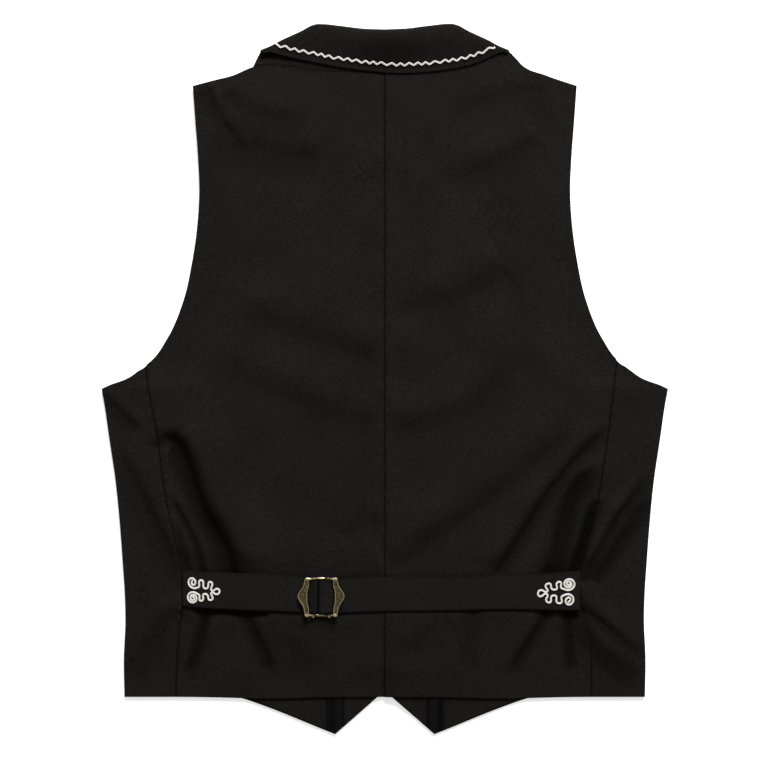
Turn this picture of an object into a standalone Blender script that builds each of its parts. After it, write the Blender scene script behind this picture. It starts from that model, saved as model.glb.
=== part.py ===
"""A suit vest laid flat on its front, so that its back shows.

Lengths are in millimetres until a mesh is made in metres. A drop is a length down from the top of
the collar, and x runs across the vest from the centre back seam. A half width counts from that
seam and serves both sides. The left side of the wearer has the negative x.
"""

import math
from collections import namedtuple

import bmesh
import bpy
import numpy as np

MM = 0.001

# Driving dimensions
LENGTH = 651.0
CHEST_HALF = 259.8
UNDERARM_DROP = 334.0
SHOULDER_TIP_DROP = 56.3
SHOULDER_HALF = 176.0
NECK_DROP = 44.0
HEM_DROP = 616.6
HEM_HALF = 238.7
POINT_HALF = 45.5
LAP = 15.0
BREAK_DROP = 300.0
FRONT_HEM_DROP = 610.0

CLOTH = 1.4
COLLAR_CLOTH = 1.3
LAPEL_CLOTH = 1.2
LINING = 1.0
STRAP = 1.8
BELT_LEFT_END = -184.6
BELT_RIGHT_END = 178.6
SEAM = 0.3
NECK_SEAM = 0.7
LAP_GAP = 0.6

BUTTON_RADIUS = 7.5
BUTTON_HEIGHT = 2.2
BUTTON_DROPS = np.linspace(312.0, 575.0, 5)

BRAID_WIDTH = 2.3
BRAID_HEIGHT = 0.8
BRAID_INSET = 8.2
BRAID_SWING = 1.3
BRAID_WAVES = 25
BRAID_REACH = 0.885
BRAID_LIFT = 0.45

CORD_WIDTH = 1.5
CORD_HEIGHT = 0.9

BUCKLE_X = -58.1
BUCKLE_DROP = 524.2
BUCKLE_HEIGHT = 2.0
BUCKLE_LOW = 1.3
BUCKLE_HIGH = 4.4
BUCKLE_HALF_HEIGHT = 18.2
WINDOW_HALF_HEIGHT = 15.4
CORNER_HALF = 14.9
WINDOW_HALF = 11.0
WINDOW_BULGE = 1.4
BAR_X = -57.0
BAR_RADIUS = 0.8
BAR_RISE = 2.3
LOOP_CLOTH = 0.9
LOOP_RADIUS = BAR_RADIUS + SEAM + LOOP_CLOTH / 2
LOOP_START = -76.0
TAIL_CLOTH = 1.6
TAIL_END = -73.0
BEND_END = -36.0


def table(columns, *rows):
    """Rows of numbers as a dictionary of named columns."""
    return dict(zip(columns.split(), np.array(rows, float).T))


ARMHOLE = table(
    "drop half_width",
    (SHOULDER_TIP_DROP, SHOULDER_HALF), (88, 173.7), (125, 171), (152, 170), (180, 171.5), (216, 176.4),
    (253, 184.7), (289, 200.2), (307.6, 213.5), (316.8, 225), (326, 239.6), (330.5, 252.4),
    (UNDERARM_DROP, CHEST_HALF),
)
SIDE_SEAM = table(
    "drop half_width",
    (UNDERARM_DROP, CHEST_HALF), (344, 257.9), (381, 252.4), (417.5, 247), (454, 243.3), (491, 240.5),
    (527, 238.2), (545, 237.8), (582, 239.2), (HEM_DROP, HEM_HALF),
)
BACK_SEAM = table(
    "drop left right",
    (307, 220, 213), (338, 215.8, 209.4), (370, 209.7, 205.4), (400, 205.6, 201), (430, 201.3, 196.4),
    (455, 196.2, 191.4), (470, 192.7, 186.5), (485, 188.4, 183.3), (500, 185, 179.3), (533, 185, 180.5),
    (550, 187.5, 185), (570, 189.4, 188.8), (600, 191, 189.4), (HEM_DROP, 191.5, 189.4),
)
SEAM_TOP_DROP = {"left": 312.2, "right": 307.2}
SHOULDER_LINE = {
    "left": table(
        "half_width drop",
        (0, NECK_DROP), (36, 43.5), (68, 41.7), (93, 38), (120.6, 39), (139, 46.7), (157, 51.3),
        (SHOULDER_HALF, SHOULDER_TIP_DROP),
    ),
    "right": table(
        "half_width drop",
        (0, NECK_DROP), (36, 42), (68, 36), (93, 29.5), (117, 28), (126, 37.5), (147.7, 46.7),
        (SHOULDER_HALF, SHOULDER_TIP_DROP),
    ),
}
COLLAR_STEPS = (5, 8, 3)
NECK_POINT = {"left": 120.6, "right": 117.0}
FRONT_EDGE = table(
    "drop half_width",
    (38, 119), (BREAK_DROP, -LAP), (588, -LAP), (598, -12), (611, 0), (LENGTH, POINT_HALF),
)
FRONT_HEM = table(
    "half_width drop",
    (POINT_HALF, LENGTH), (130, 618.3), (150, 612.5), (180, 608.5), (HEM_HALF, FRONT_HEM_DROP),
)
LAPEL_EDGE = table(
    "drop half_width",
    (38, 146), (57, 150), (110, 149), (165, 125), (215, 80), (262, 16), (300, -40), (330, -90),
)
BACK_RISE = table(
    "drop rise",
    (40, 0), (80, 0.6), (150, 1.6), (210, 2.6), (260, 4), (300, 4.8), (430, 4.8), (560, 4.8), (590, 4.6),
    (HEM_DROP, 4),
)
ROLL_LINE = table(
    "half_width drop",
    (0, 5.5), (20, 4.6), (40, 2), (57, 0.1), (63, 0.2), (68, 1.8), (74.6, 5.5), (84.3, 10), (94.5, 14.6),
    (103, 19.2), (114, 23.8),
)
FALL_EDGE = table(
    "half_width drop",
    (0, 45.8), (25, 44.8), (50, 41), (78, 35.3), (99, 27.6), (113, 25.5),
)
BELT_LEFT_EDGES = table(
    "x top bottom",
    (BELT_LEFT_END, 499, 532.8), (-160, 500.8, 534.6), (-123, 503, 536.5), (-94, 504.6, 537.4),
    (-76, 506.5, 538.5), (-67, 509.2, 538.9), (-50, 509.2, 538.9),
)
BELT_RIGHT_EDGES = table(
    "x top bottom",
    (TAIL_END, 509.2, 538.9), (-60, 509.2, 538.9), (-47, 509.2, 538.9), (-38, 507.5, 538.6),
    (0, 506.3, 537.4), (67, 506.3, 536.5), (100, 505.4, 535.6), (133, 504.5, 535.8),
    (162, 501.7, 536.5), (BELT_RIGHT_END, 500.5, 536.5),
)
BELT_RIGHT_RISE = table(
    "x rise cloth",
    (TAIL_END, 3.2, TAIL_CLOTH), (-69.5, 3.2, TAIL_CLOTH), (-66, 3.45, TAIL_CLOTH),
    (-62.5, 3.95, TAIL_CLOTH), (-60, 4.75, TAIL_CLOTH), (-57, 5.45, TAIL_CLOTH), (-52, 4.8, TAIL_CLOTH),
    (-48.5, 3.5, TAIL_CLOTH), (-45, 2.2, TAIL_CLOTH), (-40, 1.4, STRAP), (-34, 1.2, STRAP),
    (-24, 1.2, STRAP), (BELT_RIGHT_END, 1.2, STRAP),
)
BEND_SECTIONS = (
    TAIL_END, -69.5, -66, -63.5, -61.5, -60, -58.5, -57, -54.5, -52, -50, -48.5, -46.5, -44.5, -41, BEND_END,
)
LOOP_BEFORE = table(
    "from_bar rise cloth",
    (-12, 0.95, 1.3), (-7, BAR_RISE - LOOP_RADIUS, LOOP_CLOTH),
)
LOOP_AFTER = table(
    "from_bar rise cloth",
    (-1.5, 3.45, LOOP_CLOTH), (-3.2, 2.6, LOOP_CLOTH), (-5.5, 1.98, LOOP_CLOTH),
)
WING_EDGE = table(
    "height half_width",
    (-BUCKLE_HALF_HEIGHT, CORNER_HALF), (-11.4, 16.4), (-5, 19.7), (-1.8, 21.2), (0, 21.4), (1.8, 21.2),
    (5, 19.7), (11.4, 16.4), (BUCKLE_HALF_HEIGHT, CORNER_HALF),
)

# The largest folds, each a trough from its start through its middle to its end, as x and drop
Fold = namedtuple("Fold", "place width depth start middle end")
FOLDS = (
    Fold("left, long, above belt", 8.5, 3.4, (-196, 376), (-167, 432), (-132, 514)),
    Fold("left, by seam, above belt", 5.0, 2.2, (-186, 440), (-173, 475), (-165, 514)),
    Fold("left side panel, above belt", 10.0, 1.4, (-246, 380), (-224, 431), (-200, 480)),
    Fold("left, by seam, below belt", 6.5, 2.6, (-163, 528), (-166, 562), (-175, 594)),
    Fold("left, below belt", 8.0, 1.8, (-124, 528), (-117, 562), (-104, 596)),
    Fold("left side panel, below belt", 9.0, 1.2, (-199, 534), (-214, 564), (-230, 606)),
    Fold("right, broad, above belt", 14.0, 0.6, (130, 398), (86, 434), (42, 474)),
    Fold("right, long, above belt", 7.5, 2.0, (186, 392), (143, 436), (100, 510)),
    Fold("right, deep, above belt", 9.0, 3.0, (190, 404), (163, 442), (155, 514)),
    Fold("right, by seam, above belt", 5.5, 2.4, (179, 458), (176, 484), (173, 514)),
    Fold("right side panel, above belt", 6.0, 1.6, (240, 410), (218, 444), (191, 496)),
    Fold("right, below belt", 8.0, 1.8, (143, 530), (131, 564), (117, 594)),
    Fold("right, by seam, below belt", 6.0, 2.6, (174, 530), (172, 562), (171, 590)),
    Fold("right side panel, below belt", 7.0, 1.4, (192, 536), (215, 560), (236, 584)),
)

Finish = namedtuple("Finish", "color roughness metallic")
FINISHES = {
    "cloth": Finish((0.0125, 0.0118, 0.0103), 0.88, 0.0),
    "lining": Finish((0.0085, 0.0082, 0.0080), 0.55, 0.0),
    "braid": Finish((0.76, 0.74, 0.69), 0.75, 0.0),
    "brass": Finish((0.16, 0.125, 0.055), 0.38, 1.0),
    "button": Finish((0.012, 0.012, 0.012), 0.35, 0.0),
}


def smooth(rows, given, wanted, at):
    """A table's wanted column where its given column is at, on a smooth curve through the rows."""
    knots, values = rows[given], rows[wanted]
    slopes = np.gradient(values, knots)
    at = np.clip(at, knots[0], knots[-1])
    i = np.clip(np.searchsorted(knots, at) - 1, 0, len(knots) - 2)
    span = knots[i + 1] - knots[i]
    t = (at - knots[i]) / span
    from_start = (1 + 2 * t) * (1 - t) ** 2 * values[i] + t * (1 - t) ** 2 * span * slopes[i]
    from_end = t * t * (3 - 2 * t) * values[i + 1] - t * t * (1 - t) * span * slopes[i + 1]
    return from_start + from_end


def ease(share):
    """A soft step from 0 to 1."""
    share = np.clip(share, 0.0, 1.0)
    return share * share * (3 - 2 * share)


def between(start, end, share):
    return start + (end - start) * share


def sign_of(side):
    return -1.0 if side == "left" else 1.0


# Heights of the layers, as functions of x and drop


def outline_half(drop):
    """Half the width of the vest's outline below the shoulder."""
    arm = smooth(ARMHOLE, "drop", "half_width", drop)
    side = smooth(SIDE_SEAM, "drop", "half_width", drop)
    return np.where(drop < UNDERARM_DROP, arm, side)


def lapel_lift(x, drop):
    """How far the lapels and collar lift what lies on them."""
    margin, ramp = 20.0, 60.0
    edge = smooth(LAPEL_EDGE, "drop", "half_width", drop)
    return (LAPEL_CLOTH + SEAM) * (1 - ease((np.abs(x) - edge - margin) / ramp))


def button_lift(x, drop):
    """How far the buttons lift the lap of the fronts."""
    flat, ramp = 14.0, 40.0
    start, start_ramp, end, end_ramp = 200.0, 100.0, 584.0, 20.0
    across = 1 - ease((np.abs(x) - flat) / ramp)
    down = ease((drop - start) / start_ramp) * (1 - ease((drop - end) / end_ramp))
    return (BUTTON_HEIGHT + SEAM) * across * down


def front_under(side, x, drop):
    """The underside of a front. The right front lies on the left one where they lap."""
    flat, ramp = 12.0, 45.0
    lift = np.maximum(lapel_lift(x, drop), button_lift(x, drop))
    if side == "left":
        return lift
    left_edge = -np.interp(drop, FRONT_EDGE["drop"], FRONT_EDGE["half_width"])
    return lift + (CLOTH + LAP_GAP) * (1 - ease((x - left_edge - flat) / ramp))


def back_under_smooth(x, drop):
    """The underside of the back before it folds: on the fronts at the edges, raised between them."""
    sloping_share = 0.35
    share = np.abs(x) / outline_half(drop)
    crown = ease((1 - share) / sloping_share)
    rise = smooth(BACK_RISE, "drop", "rise", drop)
    return CLOTH + SEAM + lapel_lift(x, drop) + rise * crown


def fold_depth(x, drop):
    """The depth of the deepest trough at a place."""
    steps = np.linspace(0.0, 1.0, 25)
    fade_in, fade_out = 0.3, 0.2
    depth = np.zeros(np.shape(x))
    for fold in FOLDS:
        start, middle, end = (np.array(p, float) for p in (fold.start, fold.middle, fold.end))
        bend = 2 * middle - (start + end) / 2
        best = np.full(np.shape(x), np.inf)
        place = np.zeros(np.shape(x))
        for step in steps:
            at = (1 - step) ** 2 * start + 2 * step * (1 - step) * bend + step * step * end
            away = np.hypot(x - at[0], drop - at[1])
            nearer = away < best
            best = np.where(nearer, away, best)
            place = np.where(nearer, step, place)
        fade = ease(place / fade_in) * ease((1 - place) / fade_out)
        depth = np.maximum(depth, fold.depth * fade * np.exp(-((best / fold.width) ** 2)))
    return depth


def back_under(x, drop):
    """The folded underside of the back, never lower than the fronts it lies on."""
    deepest_share = 0.9
    smooth_height = back_under_smooth(x, drop)
    support = CLOTH + SEAM + lapel_lift(x, drop)
    room = deepest_share * (smooth_height - support)
    return smooth_height - np.minimum(fold_depth(x, drop), room)


def belt_base(x, drop):
    """The height that the belt lies on."""
    return back_under_smooth(x, drop) + CLOTH


# Making meshes


def place(x, drop, z):
    """Points in metres, from x, drop and height."""
    return np.stack([x, LENGTH / 2 - drop, z], axis=-1) * MM


def add_object(name, mesh, finish):
    """A node with its own material, parented to the vest."""
    material = bpy.data.materials.new(name + "_" + finish)
    material.use_nodes = True
    shader = material.node_tree.nodes["Principled BSDF"]
    look = FINISHES[finish]
    shader.inputs["Base Color"].default_value = (*look.color, 1.0)
    shader.inputs["Roughness"].default_value = look.roughness
    shader.inputs["Metallic"].default_value = look.metallic
    mesh.materials.append(material)
    node = bpy.data.objects.new(name, mesh)
    bpy.context.scene.collection.objects.link(node)
    node.parent = bpy.data.objects["vest"]
    return node


def closed_mesh(name, points, faces):
    """A smooth-shaded mesh with its faces turned out."""
    sharp_angle = math.radians(40)
    mesh = bpy.data.meshes.new(name)
    mesh.from_pydata([tuple(p) for p in points], [], faces)
    shape = bmesh.new()
    shape.from_mesh(mesh)
    bmesh.ops.recalc_face_normals(shape, faces=shape.faces)
    shape.to_mesh(mesh)
    shape.free()
    mesh.shade_smooth()
    mesh.set_sharp_from_angle(angle=sharp_angle)
    return mesh


def wall(name, outer, inner, finish):
    """One closed body between two grids of points that have the same rows and columns."""
    rows, columns = outer.shape[:2]
    count = rows * columns

    def at(layer, row, column):
        return layer * count + row * columns + column

    faces = []
    for r in range(rows - 1):
        for c in range(columns - 1):
            for layer in (0, 1):
                ring = ((r, c), (r, c + 1), (r + 1, c + 1), (r + 1, c))
                faces.append([at(layer, *corner) for corner in ring])
    rim = [(0, c) for c in range(columns)]
    rim += [(r, columns - 1) for r in range(1, rows)]
    rim += [(rows - 1, c) for c in range(columns - 2, -1, -1)]
    rim += [(r, 0) for r in range(rows - 2, 0, -1)]
    for one, two in zip(rim, rim[1:] + rim[:1]):
        faces.append([at(0, *one), at(0, *two), at(1, *two), at(1, *one)])
    points = np.concatenate([outer.reshape(-1, 3), inner.reshape(-1, 3)])
    return add_object(name, closed_mesh(name, points, faces), finish)


def ring(name, sections):
    """A closed mesh through sections that run round in a loop."""
    count, corners = sections.shape[:2]
    faces = []
    for s in range(count):
        for k in range(corners):
            one, two = s * corners, (s + 1) % count * corners
            faces.append([one + k, one + (k + 1) % corners, two + (k + 1) % corners, two + k])
    return closed_mesh(name, sections.reshape(-1, 3), faces)


def panel(name, plan, under, thickness, finish):
    """A cloth panel over a grid of x and drop, on its underside's height."""
    x, drop = plan[..., 0], plan[..., 1]
    low = under(x, drop)
    return wall(name, place(x, drop, low + thickness), place(x, drop, low), finish)


def patch(bottom, top, inner, outer, across, up):
    """A grid of x and drop between four edges, each a function of the share of its length."""
    grid = np.empty((len(up), len(across), 2))
    for i, v in enumerate(up):
        for j, u in enumerate(across):
            ruled_up = between(bottom(u), top(u), v)
            ruled_across = between(inner(v), outer(v), u)
            corners = between(between(bottom(0), bottom(1), u), between(top(0), top(1), u), v)
            grid[i, j] = ruled_up + ruled_across - corners
    return grid


def mirrored(plan, side):
    """A plan of half widths, turned to its own side."""
    return plan * (sign_of(side), 1.0)


# The panels of the body


def seam_drops(side):
    """Drops of the rows that a back half and its side panel share, closer together at the waist."""
    waist = 376.0
    low = np.linspace(HEM_DROP, waist, 17)
    return np.concatenate([low, np.linspace(waist, SEAM_TOP_DROP[side], 4)[1:]])


def back(side):
    """A back half, from the centre back seam to the side back seam and the armhole."""
    seam_top = SEAM_TOP_DROP[side]
    crowding = 1.25

    def bottom(u):
        return np.array([between(SEAM / 2, BACK_SEAM[side][-1] - SEAM / 2, u), HEM_DROP])

    def top(u):
        x = between(SEAM / 2, SHOULDER_HALF, u)
        return np.array([x, smooth(SHOULDER_LINE[side], "half_width", "drop", x)])

    def inner(v):
        return np.array([SEAM / 2, between(HEM_DROP, NECK_DROP, v)])

    def outer(v):
        drop = between(HEM_DROP, SHOULDER_TIP_DROP, v)
        if drop < seam_top - SEAM:
            return np.array([smooth(ARMHOLE, "drop", "half_width", drop), drop])
        return np.array([smooth(BACK_SEAM, "drop", side, drop) - SEAM / 2, drop])

    drops = np.concatenate([seam_drops(side), np.linspace(seam_top, SHOULDER_TIP_DROP, 10)[1:]])
    up = (HEM_DROP - drops) / (HEM_DROP - SHOULDER_TIP_DROP)
    across = 1 - (1 - np.linspace(0, 1, 20)) ** crowding
    plan = mirrored(patch(bottom, top, inner, outer, across, up), side)
    panel("back_" + side, plan, back_under, CLOTH, "cloth")


def side_back(side):
    """A side panel, from the side back seam to the side seam."""
    seam_top = SEAM_TOP_DROP[side]
    corner_share = 0.25

    def bottom(u):
        return np.array([between(BACK_SEAM[side][-1] + SEAM / 2, HEM_HALF, u), HEM_DROP])

    def top(u):
        drop = between(seam_top, UNDERARM_DROP, u)
        x = smooth(ARMHOLE, "drop", "half_width", drop)
        seam = smooth(BACK_SEAM, "drop", side, seam_top) + SEAM / 2
        return np.array([between(seam, x, ease(u / corner_share)), drop])

    def inner(v):
        drop = between(HEM_DROP, seam_top, v)
        return np.array([smooth(BACK_SEAM, "drop", side, drop) + SEAM / 2, drop])

    def outer(v):
        drop = between(HEM_DROP, UNDERARM_DROP, v)
        return np.array([smooth(SIDE_SEAM, "drop", "half_width", drop), drop])

    up = (HEM_DROP - seam_drops(side)) / (HEM_DROP - seam_top)
    plan = mirrored(patch(bottom, top, inner, outer, np.linspace(0, 1, 7), up), side)
    panel("side_" + side, plan, back_under, CLOTH, "cloth")


def front(side):
    """A front, from its edge and point to the side seam, and up to the shoulder."""
    hidden, scoop_depth, scoop_share = 0.4, 2.6, 0.25
    gorge_share, point_share, scoop_drop, crowding = 0.1, 0.1, 290.0, 1.2
    neck = NECK_POINT[side]
    neck_drop = smooth(SHOULDER_LINE[side], "half_width", "drop", neck)

    def bottom(u):
        x = between(POINT_HALF, HEM_HALF - hidden, u)
        return np.array([x, smooth(FRONT_HEM, "half_width", "drop", x)])

    def top(u):
        x = between(neck, SHOULDER_HALF, u)
        return np.array([x, smooth(SHOULDER_LINE[side], "half_width", "drop", x) + hidden])

    def inner(v):
        drop = between(LENGTH, neck_drop + hidden, v)
        x = np.interp(drop, FRONT_EDGE["drop"], FRONT_EDGE["half_width"])
        return np.array([between(x, neck, ease((v - 1) / gorge_share + 1)), drop])

    def outer(v):
        drop = between(FRONT_HEM_DROP, SHOULDER_TIP_DROP + hidden, v)
        if drop > UNDERARM_DROP:
            return np.array([smooth(SIDE_SEAM, "drop", "half_width", drop) - hidden, drop])
        down = (drop - SHOULDER_TIP_DROP) / (UNDERARM_DROP - SHOULDER_TIP_DROP)
        cut_back = hidden + scoop_depth * math.sin(math.pi * np.clip(down, 0, 1))
        cut_back *= min(1, down / scoop_share)
        return np.array([smooth(ARMHOLE, "drop", "half_width", drop) - cut_back, drop])

    height = FRONT_HEM_DROP - SHOULDER_TIP_DROP - hidden
    arm = (FRONT_HEM_DROP - UNDERARM_DROP) / height
    scoop = (FRONT_HEM_DROP - scoop_drop) / height
    up = np.concatenate([
        np.linspace(0, point_share, 5), np.linspace(point_share, arm, 9)[1:],
        np.linspace(arm, scoop, 6)[1:], np.linspace(scoop, 1, 9)[1:],
    ])
    across = np.linspace(0, 1, 14) ** crowding
    plan = mirrored(patch(bottom, top, inner, outer, across, up), side)
    panel("front_" + side, plan, lambda x, drop: front_under(side, x, drop), CLOTH, "cloth")


def point_pieces(side):
    """The lower ends of the lining and the facing, on the inside of a front's point."""
    tuck, margin, clear = 4.0, 1.2, 0.5
    facing_start, facing_half, lining_half = 6.0, 38.2, 124.0

    def strip(name, halves, finish):
        plan = np.empty((4, len(halves), 2))
        for j, x in enumerate(halves):
            hem = smooth(FRONT_HEM, "half_width", "drop", x)
            edge = np.interp(x, FRONT_EDGE["half_width"][2:], FRONT_EDGE["drop"][2:])
            low = (hem if x > POINT_HALF else edge) - margin
            plan[:, j, 0] = x
            plan[:, j, 1] = np.linspace(HEM_DROP - tuck, low, 4)
        panel(name, mirrored(plan, side), on_front, LINING, finish)

    def on_front(x, drop):
        return front_under(side, x, drop) + CLOTH + clear

    lining = np.concatenate([np.linspace(facing_half + SEAM, POINT_HALF, 3),
                             np.linspace(POINT_HALF, lining_half, 7)[1:]])
    strip("lining_" + side, lining, "lining")
    strip("facing_" + side, np.linspace(facing_start, facing_half, 5), "cloth")


def lapel(side):
    """A lapel turned back on the outside of a front."""
    top_drop, low_drop, notch_drop, roll_margin = 44.0, 262.0, 57.0, 0.5

    def inner(v):
        drop = between(low_drop, top_drop, v)
        edge = np.interp(drop, FRONT_EDGE["drop"], FRONT_EDGE["half_width"])
        return np.array([edge + roll_margin, drop])

    def outer(v):
        drop = between(low_drop, notch_drop, v)
        return np.array([smooth(LAPEL_EDGE, "drop", "half_width", drop), drop])

    def bottom(u):
        return between(inner(0), outer(0), u)

    def top(u):
        return between(inner(1), outer(1), u)

    plan = patch(bottom, top, inner, outer, np.linspace(0, 1, 6), np.linspace(0, 1, 10))
    panel("lapel_" + side, mirrored(plan, side), lambda x, drop: np.zeros(x.shape), LAPEL_CLOTH, "cloth")


def button(number, drop):
    """A round front button with a soft rim."""
    sides = 14
    rings = ((0.86, 0.0), (1.0, 0.25), (1.0, 0.75), (0.86, 1.0))
    turns = np.linspace(0, 2 * math.pi, sides, endpoint=False)
    points = []
    for radius, rise in rings:
        x = BUTTON_RADIUS * radius * np.cos(turns)
        y = BUTTON_RADIUS * radius * np.sin(turns)
        points.append(place(x, drop + y, np.full(sides, BUTTON_HEIGHT * rise)))
    faces = [list(range(sides)), list(range(3 * sides, 4 * sides))]
    for level in range(3):
        for k in range(sides):
            one, two = level * sides, (level + 1) * sides
            faces.append([one + k, one + (k + 1) % sides, two + (k + 1) % sides, two + k])
    name = f"button_{number}"
    add_object(name, closed_mesh(name, np.concatenate(points), faces), "button")


# The collar


def collar_lines(t):
    """The roll, the fall's edge and the neck seam, where t runs from -1 at the left to 1."""
    side = "left" if t < 0 else "right"
    lines = []
    for rows, end, gap in (
        (ROLL_LINE, ROLL_LINE["half_width"][-1], 0.0),
        (FALL_EDGE, FALL_EDGE["half_width"][-1], 0.0),
        (SHOULDER_LINE[side], NECK_POINT[side] - NECK_SEAM, NECK_SEAM),
    ):
        x = end * abs(t)
        lines.append(np.array([x * sign_of(side), smooth(rows, "half_width", "drop", x) - gap]))
    return lines


def collar_section(t, fall_steps, roll_steps, stand_steps):
    """The outer and inner points of the collar's cloth, from the fall's edge over the roll to the seam."""
    clear, roll_rise, least_fall = 0.45, 0.3, 0.5
    roll, fall, seam = collar_lines(t)
    half = COLLAR_CLOTH / 2
    seam_height = float(back_under(seam[:1], seam[1:])[0]) + half
    fall_height = seam_height + COLLAR_CLOTH + clear
    top_height, low_height = fall_height + roll_rise, half
    radius = (top_height - low_height) / 2
    centre = radius + half
    fall_reach = max(np.linalg.norm(fall - roll), centre + least_fall)
    seam_reach = np.linalg.norm(seam - roll)
    fall_way = (fall - roll) / np.linalg.norm(fall - roll)
    seam_way = (seam - roll) / seam_reach
    reach, rise, lean = [], [], []
    for share in np.linspace(0, 1, fall_steps, endpoint=False):
        reach.append(between(fall_reach, centre, share))
        rise.append(between(fall_height, top_height, ease(share)))
        lean.append(0.0)
    for share in np.linspace(0, 1, roll_steps):
        angle = math.pi * (0.5 - share)
        reach.append(centre - radius * math.cos(angle))
        rise.append(between(low_height, top_height, 0.5) + radius * math.sin(angle))
        lean.append(share)
    for share in np.linspace(0, 1, stand_steps + 1)[1:]:
        reach.append(between(centre, seam_reach, share))
        rise.append(between(low_height, seam_height, ease(share)))
        lean.append(1.0)
    reach, rise, lean = np.array(reach), np.array(rise), np.array(lean)[:, None]
    along = np.stack([np.gradient(reach), np.gradient(rise)], axis=1)
    along /= np.linalg.norm(along, axis=1)[:, None]
    way = between(fall_way, seam_way, lean)
    layers = []
    for turn in (half, -half):
        plan = roll + way * (reach + turn * along[:, 1])[:, None]
        layers.append(place(plan[:, 0], plan[:, 1], rise - turn * along[:, 0]))
    return layers


def collar():
    """The collar: its fall on top, its roll at the upper edge, its stand beneath."""
    spread = np.linspace(-1, 1, 33)
    sections = [collar_section(t, *COLLAR_STEPS) for t in spread]
    outer = np.array([section[0] for section in sections])
    inner = np.array([section[1] for section in sections])
    wall("collar", outer, inner, "cloth")


def collar_surface(t, inset):
    """A point on the collar's outer side, that far in from the fall's edge, and its normal."""
    outer, inner = collar_section(t, *COLLAR_STEPS)
    steps = np.linalg.norm(np.diff(outer, axis=0), axis=1)
    along = np.concatenate([[0], np.cumsum(steps)])
    point = np.array([np.interp(inset * MM, along, outer[:, k]) for k in range(3)])
    normal = np.array([np.interp(inset * MM, along, (outer - inner)[:, k]) for k in range(3)])
    return point, normal / np.linalg.norm(normal)


def ribbon(name, points, normals, lift, width, height, finish):
    """A flat cord that lies on a surface, along points of it."""
    tangents = np.gradient(points, axis=0)
    sideways = np.cross(normals, tangents)
    sideways *= width * MM / 2 / np.linalg.norm(sideways, axis=1)[:, None]
    low, high = points + normals * lift * MM, points + normals * (lift + height) * MM
    outer = np.stack([high - sideways, high + sideways], axis=1)
    inner = np.stack([low - sideways, low + sideways], axis=1)
    wall(name, outer, inner, finish)


def collar_braid():
    """The wavy braid along the fall of the collar."""
    steps_a_wave = 6
    count = BRAID_WAVES * steps_a_wave + 1
    points, normals = [], []
    for k, t in enumerate(np.linspace(-BRAID_REACH, BRAID_REACH, count)):
        swing = BRAID_SWING * math.sin(2 * math.pi * BRAID_WAVES * k / (count - 1))
        point, normal = collar_surface(t, BRAID_INSET + swing)
        points.append(point)
        normals.append(normal)
    points, normals = np.array(points), np.array(normals)
    ribbon("collar_braid", points, normals, BRAID_LIFT, BRAID_WIDTH, BRAID_HEIGHT, "braid")


# The back belt


def strap(name, path, cloth, edges):
    """A strap of the belt, along a path of x and height over the back."""
    way = np.gradient(path, axis=0)
    way /= np.linalg.norm(way, axis=1)[:, None]
    top = smooth(edges, "x", "top", path[:, 0])
    bottom = smooth(edges, "x", "bottom", path[:, 0])
    across = np.linspace(0, 1, 4)
    drop = between(top[:, None], bottom[:, None], across[None, :])
    base = belt_base(np.broadcast_to(path[:, :1], drop.shape), drop)
    layers = []
    for turn in (0.5, -0.5):
        x = path[:, 0] - turn * cloth * way[:, 1]
        rise = path[:, 1] + turn * cloth * way[:, 0]
        layers.append(place(np.broadcast_to(x[:, None], drop.shape), drop, base + rise[:, None]))
    wall(name, layers[0], layers[1], "cloth")


def belt_left():
    """The left strap, sewn in a loop round the buckle's bar."""
    flat = np.linspace(BELT_LEFT_END, LOOP_START, 12)
    turn = np.linspace(-math.pi / 2, math.pi / 2, 7)
    x = np.concatenate([flat, BAR_X + LOOP_BEFORE["from_bar"], BAR_X + LOOP_RADIUS * np.cos(turn),
                        BAR_X + LOOP_AFTER["from_bar"]])
    rise = np.concatenate([np.full(len(flat), SEAM + STRAP / 2), LOOP_BEFORE["rise"],
                           BAR_RISE + LOOP_RADIUS * np.sin(turn), LOOP_AFTER["rise"]])
    cloth = np.concatenate([np.full(len(flat), STRAP), LOOP_BEFORE["cloth"],
                            np.full(len(turn), LOOP_CLOTH), LOOP_AFTER["cloth"]])
    strap("belt_left", np.stack([x, rise], axis=1), cloth, BELT_LEFT_EDGES)


def belt_right():
    """The right strap, over the bar and down again, with its end under the left wing."""
    x = np.concatenate([BEND_SECTIONS, np.linspace(BEND_END, BELT_RIGHT_END, 16)[1:]])
    rise = smooth(BELT_RIGHT_RISE, "x", "rise", x)
    cloth = np.interp(x, BELT_RIGHT_RISE["x"], BELT_RIGHT_RISE["cloth"])
    strap("belt_right", np.stack([x, rise], axis=1), cloth, BELT_RIGHT_EDGES)


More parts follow.
